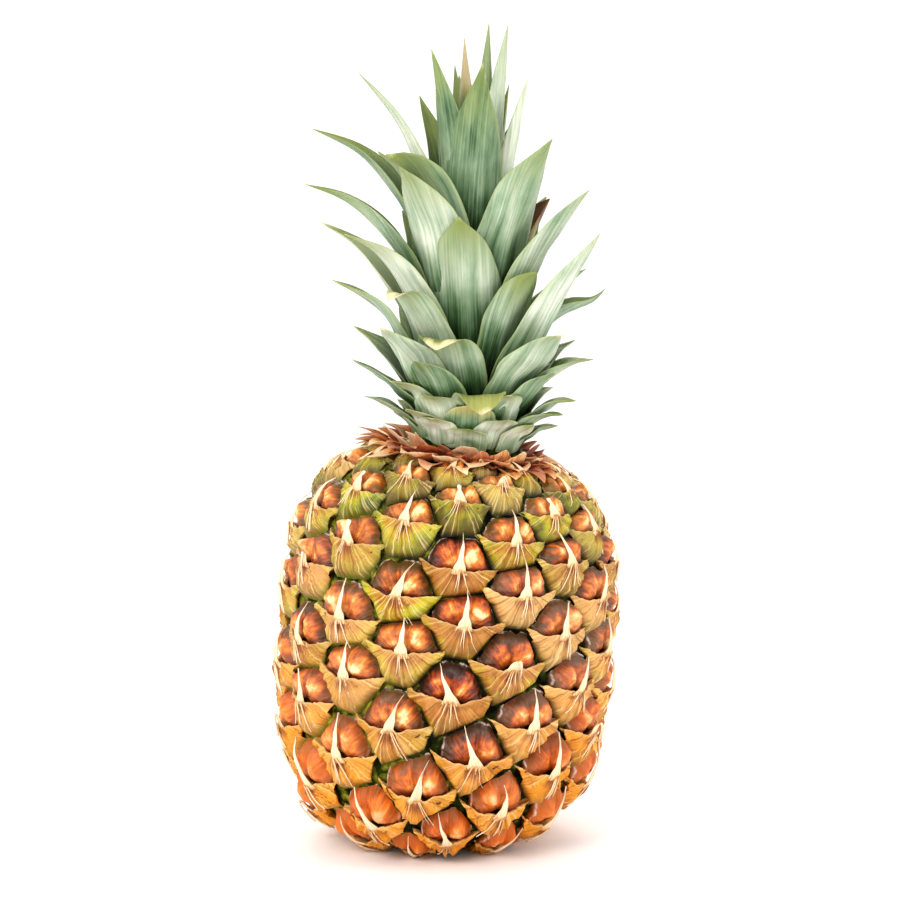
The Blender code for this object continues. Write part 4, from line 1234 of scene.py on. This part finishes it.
# %% Leaf measures
STEM_FOOT = 143.9 * MM
STEM_HEIGHT = 63.0 * MM
STEM_FOOT_RADIUS = 20.5 * MM
STEM_TOP_RADIUS = 3.0 * MM
STEM_TAPER = 1.2
LEAF_COUNT = 80
LEAF_TURN = 2.0 * math.pi * 5.0 / 13.0
LEAF_FOOT = 149.0 * MM
LEAF_TOP = 200.0 * MM
LEAF_THICKNESS = 1.3 * MM
LEAF_ROOT = 3.0 * MM
LEAF_SEED = 7
STRAY_TURN = 4
STRAY_LENGTH = 0.08
STRAY_FOOT_LEAN = 2
STRAY_TIP_LEAN = 8
STRAY_SWAY = 10
LOW_SCALES = 24
SCALE_UPRIGHT = 0.55
LEAF_CLIMBS = ((0, 0), (0.16, 0.05), (0.33, 0.14), (0.5, 0.27), (0.7, 0.61), (0.85, 0.85), (1, 1))
LEAF_LENGTHS = (
    (0.0, 12), (0.16, 17), (0.33, 26), (0.45, 40), (0.55, 54), (0.66, 70), (0.8, 88), (0.86, 86), (1.0, 86),
)
LEAF_WIDTHS = ((0.0, 15), (0.25, 19), (0.45, 25), (0.65, 28), (0.78, 25), (0.88, 19), (1.0, 14))
LEAF_FOOT_LEANS = ((0.0, 52), (0.33, 38), (0.5, 27), (0.66, 16), (0.82, 8), (1.0, 3))
LEAF_TIP_LEANS = ((0.0, 70), (0.33, 84), (0.5, 70), (0.66, 56), (0.82, 36), (0.92, 18), (1.0, 6))
LEAF_CHANNELS = ((0.0, 4), (0.4, 12), (0.7, 20), (1.0, 30))
# The leaves that were seen: turn in degrees, length in mm, lean at the foot and lean at the end.
LEAVES_SEEN = {
    11: (86, 15, 52, 84), 15: (-84, 24, 48, 66), 16: (62, 22, 46, 84), 24: (80, 24, 46, 90),
    26: (6, 27, 34, 120), 28: (-86, 34, 42, 70), 33: (-110, 42, 34, 64), 34: (42, 45, 34, 60),
    36: (-50, 42, 30, 66), 37: (84, 34, 42, 98), 39: (-18, 40, 24, 88), 41: (-84, 58, 22, 66),
    42: (58, 72, 26, 44), 44: (-36, 55, 24, 72), 46: (-108, 74, 22, 68), 47: (34, 50, 20, 46),
    49: (-62, 68, 18, 66), 50: (86, 48, 34, 98), 52: (-10, 61, 12, 40), 54: (-86, 84, 16, 72),
    55: (64, 72, 20, 40), 57: (-36, 80, 16, 58), 58: (108, 58, 10, 36), 59: (-108, 97, 12, 72),
    60: (35, 83, 14, 38), 62: (-44, 80, 12, 44), 63: (100, 68, 8, 28), 66: (150, 74, 5, 24),
    65: (-9, 98, 6, 20), 67: (-86, 97, 8, 43), 68: (70, 90, 4, 19), 70: (-34, 98, 5, 26),
    71: (112, 84, 2, 8), 73: (50, 104, 2, 6), 76: (84, 84, 1, 4), 78: (-60, 95, 1, 5),
    79: (40, 100, 1, 1),
}
print(LEAF_COUNT, "leaves,", len(LEAVES_SEEN), "with their own measures")

# %% [markdown]
# ### Outlines and forms
# A leaf keeps its width for a third of its length and then draws to a point, but many ends have dried, folded
# over or been lost. A curve could be drawn for each, but a few outlines do: pairs of a place along the leaf
# and its width there, as a share of the full width. A form gives a leaf its outline, its curl and its looks.

# %% Leaf outlines and forms
# Full at a third, then a long point.
POINTED = (
    (0, 0.15, 0.32, 0.45, 0.55, 0.65, 0.75, 0.83, 0.9, 0.96, 1.0),
    (0.84, 0.96, 1.0, 0.95, 0.87, 0.75, 0.59, 0.43, 0.27, 0.12, 0.02),
)
# Broad for most of its length, then a short point.
SHORT_POINTED = (
    (0, 0.15, 0.32, 0.5, 0.62, 0.72, 0.8, 0.87, 0.93, 0.97, 1.0),
    (0.8, 0.94, 1.04, 1.06, 1.0, 0.86, 0.66, 0.42, 0.22, 0.1, 0.02),
)
# Broad to the end, where the dry tip has folded over or broken off.
BLUNT = (
    (0, 0.15, 0.35, 0.55, 0.7, 0.8, 0.88, 0.94, 0.98, 1.0),
    (0.84, 0.96, 1.02, 0.98, 0.88, 0.76, 0.58, 0.36, 0.16, 0.03),
)
NARROW = (BLUNT[0], tuple(0.74 * half for half in BLUNT[1]))
# As broad at the end as at the root, like a leaf whose point was lost.
STRAP = ((0, 0.15, 0.35, 0.6, 0.8, 0.9, 0.97, 1.0), (0.84, 0.96, 1.04, 1.1, 1.12, 0.98, 0.6, 0.12))
# The leaves that look their own way: outline, how far and from where the end curls over (degrees and share),
# and the looks: bloom, partly painted light on the palest leaves, yellow end and dry end.
LEAF_FORMS = {
    11: (POINTED, 16, 0.4, (0.6, 0.7, 0.4)), 13: (SHORT_POINTED, 20, 0.5, (0.5, 1.0, 0.3)),
    15: (POINTED, 16, 0.3, (0.6, 0.6, 0.3)), 16: (POINTED, 16, 0.4, (0.6, 0.7, 0.4)),
    24: (POINTED, 14, 0.4, (0.6, 0.8, 0.5)), 26: (BLUNT, 62, 0.62, (0.6, 0.9, 0.55)),
    34: (SHORT_POINTED, 20, 0.8, (0.8, 0.4, 0.9)), 33: (POINTED, 8, 0.4, (0.5, 0.6, 0.3)),
    36: (SHORT_POINTED, 0, 0.7, (0.9, 0.3, 0.8)), 37: (POINTED, 0, 0.7, (0.7, 0.7, 0.3)),
    39: (BLUNT, 55, 0.78, (0.75, 0.8, 1.0)), 41: (POINTED, 14, 0.4, (0.6, 0.6, 0.3)),
    42: (POINTED, -8, 0.75, (1.0, 0.2, 0.2)), 44: (NARROW, 60, 0.8, (0.9, 0.7, 1.0)),
    46: (POINTED, 9, 0.4, (1.3, 0.5, 0.4)), 47: (NARROW, 20, 0.85, (0.75, 0.8, 0.2)),
    49: (POINTED, 16, 0.4, (1.25, 0.7, 0.4)), 50: (POINTED, -40, 0.8, (0.5, 0.3, 0.2)),
    52: (SHORT_POINTED, 8, 0.7, (0.8, 0.75, 0.3)), 54: (POINTED, 16, 0.4, (0.6, 0.6, 0.2)),
    55: (POINTED, 6, 0.5, (0.85, 0.3, 0.2)), 57: (SHORT_POINTED, 10, 0.85, (0.9, 0.6, 0.1)),
    58: (BLUNT, 0, 0.7, (0.0, 1.0, 1.6)), 59: (POINTED, 13, 0.4, (0.5, 0.7, 0.2)),
    60: (SHORT_POINTED, 4, 0.7, (0.65, 0.5, 0.5)), 62: (STRAP, 30, 0.5, (0.6, 0.6, 0.1)),
    65: (SHORT_POINTED, 0, 0.7, (0.25, 0.5, 0.4)), 67: (POINTED, 11, 0.4, (1.1, 0.4, 0.3)),
    68: (POINTED, -6, 0.6, (1.1, 0.1, 0.2)), 70: (POINTED, 0, 0.7, (0.4, 0.5, 0.3)),
    73: (POINTED, 0, 0.7, (1.0, 0.3, 0.2)), 78: (SHORT_POINTED, 0, 0.7, (0.0, 0.9, 1.3)),
    79: (POINTED, 0, 0.7, (0.75, 0.6, 0.2)),
}
LEAF_COLUMNS = 15


def leaf_form(number):
    """A leaf's outline, curl, the curl's start, and looks, which are drawn if it has no form of its own."""
    drawn = random.Random(number)
    looks = (drawn.uniform(0.3, 0.8), drawn.uniform(0.2, 0.7), drawn.uniform(0.1, 0.6))
    form = (POINTED, 0, 0.7, looks)
    if number < LOW_SCALES:
        looks = (drawn.uniform(0.9, 1.4), drawn.uniform(0.75, 0.95), drawn.uniform(0.1, 0.7))
        form = (SHORT_POINTED, 34, 0.4, looks)
    return LEAF_FORMS.get(number, form)


def stem_radius(share):
    """The radius of the crown's stem at a share of its height."""
    return STEM_FOOT_RADIUS + (STEM_TOP_RADIUS - STEM_FOOT_RADIUS) * share**STEM_TAPER


def crown_leaf(number, chance):
    """One leaf of the crown, by the rule for its place, or by its own measures."""
    share = number / (LEAF_COUNT - 1)
    turn = math.degrees(LEAF_TURN) * number + chance.uniform(-STRAY_TURN, STRAY_TURN)
    length = value(LEAF_LENGTHS, share) * chance.uniform(1.0 - STRAY_LENGTH, 1.0 + STRAY_LENGTH)
    foot_lean = value(LEAF_FOOT_LEANS, share) + chance.uniform(-STRAY_FOOT_LEAN, STRAY_FOOT_LEAN)
    tip_lean = value(LEAF_TIP_LEANS, share) + chance.uniform(-STRAY_TIP_LEAN, STRAY_TIP_LEAN)
    sway = math.radians(chance.uniform(-STRAY_SWAY, STRAY_SWAY)) * share
    if number in LEAVES_SEEN:
        turn, length, foot_lean, tip_lean = LEAVES_SEEN[number]
    elif number < LOW_SCALES:
        foot_lean *= SCALE_UPRIGHT
        tip_lean *= SCALE_UPRIGHT
    foot = LEAF_FOOT + (LEAF_TOP - LEAF_FOOT) * value(LEAF_CLIMBS, share)
    stations = next(row for longest, row in BLADE_STATIONS if length <= longest)
    radius = stem_radius((foot - STEM_FOOT) / STEM_HEIGHT)
    leans = (foot_lean, tip_lean)
    rows = blade_line(math.radians(turn), radius, foot, length * MM, leans, LEAF_ROOT, stations, sway)
    outline, curl, start, looks = leaf_form(number)
    return blade(rows, value(LEAF_WIDTHS, share) * MM, outline, value(LEAF_CHANNELS, share), LEAF_THICKNESS,
                 12 + int(length / 4), LEAF_COLUMNS, float(number), length * MM, looks, curl, start)


print(len(LEAF_FORMS), "leaves with their own form")

# %% [markdown]
# A pineapple leaf wears a bloom: a film of pale scales that makes it blue-green and nearly white where it is
# thick, most of all on its under side, which faces out; on the leaves given most bloom this paleness is
# partly painted light. Fine veins run its whole length. The bloom thins to olive on the inner face, the end
# turns yellow-green and then dry, and the foot is painted deep green as shade. A picture of a leaf could be
# wrapped on, but it would be the same on every leaf, while noise that is read at the leaf's own place in
# millimetres differs on each.

# %% Leaf material
def leaf_skin():
    """Bloomed leaf skin: half dull, with veins some 0.9 mm apart, streaks of 3 mm and clouds of 6 mm."""
    material, tree, shader = principled("bloomed_leaf", 0.5)
    mark = read_marks(tree, "leaf_place", "looks", "edge", "way", "inside")
    place = mark["leaf_place"]
    veins = stretched_noise(tree, place, (0.9, 0.012, 3.1), Scale=1.3, Detail=4.0, Roughness=0.7)
    streaks = stretched_noise(tree, place, (0.35, 0.03, 3.1), Scale=1.0)
    clouds = stretched_noise(tree, place, (0.16, 0.06, 3.1), Scale=1.0, Detail=5.0)

    # Painted shade: the foot of each leaf and its first millimetres darken, less on the leaves low on the
    # stem.
    shades = [add(tree, "ShaderNodeMapRange", {
        "Value": steer, "From Min": start, "From Max": end, "To Min": low, "To Max": high})
        for steer, start, end, low, high in (
            (mark["way"], 0.0, 0.55, -1.1, 0.0),
            (mark["leaf_place Y"], 3.0, 8.0, -0.4, 0.0),
            (mark["leaf_place Z"], 18.0, 40.0, 0.35, 1.0))]
    foot = add(tree, "ShaderNodeMath", {0: shades[0], 1: shades[1]}, operation="ADD")
    foot = add(tree, "ShaderNodeMath", {0: foot, 1: shades[2]}, operation="MULTIPLY")
    # The bloom, looks X, lightens the whole leaf: partly its real bloom and partly painted light on leaves
    # that catch more light.
    tone = base_tone(tree, 0.8, 1.94, (
        (foot, 1.0), (veins, 1.0), (streaks, 0.35), (clouds, 0.9), (mark["looks X"], 0.6)))
    colour = add(tree, "ShaderNodeValToRGB", {0: tone}, stops=(
        (0.0, "#182C12"), (1.0, "#EEF0DF"), (0.25, "#45633A"), (0.45, "#789270"), (0.65, "#A4B798"),
        (0.82, "#C9D3BC")))
    inner = add(tree, "ShaderNodeValToRGB", {0: tone}, stops=(
        (0.0, "#262E0E"), (1.0, "#8E9C5A"), (0.5, "#56662A")))

    margin = add(tree, "ShaderNodeMath", {0: streaks, 1: 0.25, 2: mark["edge"]}, operation="MULTIPLY_ADD")
    worn = add(tree, "ShaderNodeMath", {0: clouds, 1: 0.5, 2: mark["way"]}, operation="MULTIPLY_ADD")
    worn = add(tree, "ShaderNodeMath", {0: veins, 1: 0.16, 2: worn}, operation="MULTIPLY_ADD")
    yellow = add(tree, "ShaderNodeMath", {0: mark["looks Y"], 1: 0.34, 2: worn}, operation="MULTIPLY_ADD")
    dry = add(tree, "ShaderNodeMath", {0: mark["looks Z"], 1: 0.2, 2: worn}, operation="MULTIPLY_ADD")
    ripe = coats(tree, linear("#848F34"), [(mark["looks Y"], 0.85, 1.0, 1.0, "#D6C478")])
    dried = coats(tree, linear("#EADCAE"), [(mark["looks Z"], 1.1, 1.5, 1.0, "#6E4220")])
    colour = coats(tree, colour, (
        (mark["inside"], 0.0, 1.0, 0.8, inner),
        (margin, 1.02, 1.14, 0.55, "#B4BE86"),
        (yellow, 1.22, 1.56, 0.85, ripe),
        (dry, 1.38, 1.5, 1.0, dried),
    ))
    finish_skin(tree, shader, colour, (veins, 0.6 * MM, 0.8), (clouds, 2.0 * MM, 0.5))
    return material


# %% [markdown]
# The leaves could be eighty objects, but nothing in a crown moves, so they join into one mesh of closed
# shells. The stem is turned like the flesh and takes the skin of the grooves, as almost none of it shows.

# %% Grow the crown
STEM_STEPS = 12
STEM_SIDES = 40
chance = random.Random(LEAF_SEED)
crown = mesh_object("crown_leaves", [crown_leaf(number, chance) for number in range(LEAF_COUNT)])
crown.data.materials.append(leaf_skin())
stem_shares = [step / STEM_STEPS for step in range(STEM_STEPS + 1)]
stem_outline = [(stem_radius(share), STEM_FOOT + STEM_HEIGHT * share) for share in stem_shares]
stem_outline = [(0.0, stem_outline[0][1]), *stem_outline, (0.0, stem_outline[-1][1])]
stem = turned("crown_stem", stem_outline, STEM_SIDES, groove_skin())
print("crown", len(crown.data.polygons), "faces")

# %% [markdown]
# ## The collar
# Between the fruit and the crown a few rings of bracts had no flower to carry, and dried to red-brown paper.
# Paper could be laid as cloth, but dry bracts are stiff, so they are blades like the leaves, with stray
# leans, lengths and widths. They carry the eyes' spiral on.

# %% Collar
COLLAR_COUNT = 66
COLLAR_RADII = (33.0 * MM, 22.5 * MM)
COLLAR_HEIGHTS = (142.8 * MM, 146.0 * MM)
COLLAR_LEANS = (102, 42)
COLLAR_LENGTHS = (11.0 * MM, 9.0 * MM)
COLLAR_WIDTH = 11.0 * MM
COLLAR_OUTLINE = ((0, 0.25, 0.55, 0.8, 1.0), (1.0, 0.96, 0.66, 0.32, 0.03))
COLLAR_STATIONS = (0.0, 0.3, 0.65, 1.0)
COLLAR_CHANNEL = 18
COLLAR_THICKNESS = 0.5 * MM
COLLAR_STEPS = 14
COLLAR_COLUMNS = 9
COLLAR_SEEDS = 100.0


def collar_bract(number, chance):
    """One dry bract, with its own stray lean, length and width. To the left they are longer and paler."""
    share = number / (COLLAR_COUNT - 1)
    lows, highs = zip(COLLAR_RADII, COLLAR_HEIGHTS, COLLAR_LEANS, COLLAR_LENGTHS)
    radius, foot, lean, length = (low + (high - low) * share for low, high in zip(lows, highs))
    turn = FIRST_EYE_TURN + GOLDEN_ANGLE * (EYES.stop + number)
    length *= chance.uniform(0.6, 1.1) - 0.3 * math.sin(turn)
    leans = (lean + chance.uniform(-22, 10), lean + chance.uniform(-20, 55))
    sway = math.radians(chance.uniform(-65, 65))
    rows = blade_line(turn, radius, foot, length, leans, LEAF_ROOT, COLLAR_STATIONS, sway)
    pale = 0.4 - 0.2 * math.sin(turn) + chance.uniform(-0.6, 0.6)
    width = COLLAR_WIDTH * chance.uniform(0.6, 1.7)
    looks = (pale, chance.random(), 0.0)
    return blade(rows, width, COLLAR_OUTLINE, COLLAR_CHANNEL, COLLAR_THICKNESS, COLLAR_STEPS, COLLAR_COLUMNS,
                 COLLAR_SEEDS + number, length, looks)


def dry_bract_paper():
    """Dried leaf tissue: dull red-brown paper with fibres along it."""
    material, tree, shader = principled("dry_bract_paper", 0.7)
    mark = read_marks(tree, "leaf_place", "looks", "way")
    fibres = stretched_noise(tree, mark["leaf_place"], (1.6, 0.12, 3.1), Scale=1.3, Detail=4.0)
    tone = base_tone(tree, 0.45, 1.6, ((fibres, 1.0), (mark["way"], 0.5), (mark["looks X"], 0.75)))
    colour = add(tree, "ShaderNodeValToRGB", {0: tone}, stops=(
        (0.0, "#4A1A0E"), (1.0, "#FDEBC4"), (0.25, "#9A4824"), (0.48, "#D0864E"), (0.7, "#EDC088")))
    colour = coats(tree, colour, [(mark["looks Y"], 0.4, 1.0, 0.5, "#C08270")])
    finish_skin(tree, shader, colour, (fibres, 0.4 * MM, 0.7))
    return material


chance = random.Random(LEAF_SEED)
collar = mesh_object("collar_papers", [collar_bract(number, chance) for number in range(COLLAR_COUNT)])
collar.data.materials.append(dry_bract_paper())
print("collar", len(collar.data.polygons), "faces")

# %% [markdown]
# ## Hand over
# Each piece rides on the one body, and the solid that it stands for is hidden. The guides are only helpers,
# so they go.

# %% Attach the pieces and hide their solids
for guide_object in (meridian_guide, axis_guide):
    bpy.data.objects.remove(guide_object)

PIECES = {
    "eye_domes": (domes, "fruit", "fruit_rind"),
    "eye_bracts": (bracts, "fruit", "fruit_rind"),
    "bract_tips": (tips, "fruit", "dry_bract"),
    "fruit_flesh": (flesh, "fruit", "fruit_rind"),
    "crown_leaves": (crown, "crown", "crown_leaf"),
    "crown_stem": (stem, "crown", "crown_leaf"),
    "collar_papers": (collar, "collar_bracts", "dry_bract"),
}
for piece, node, slot in PIECES.values():
    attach(piece, "root")
    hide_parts(node)
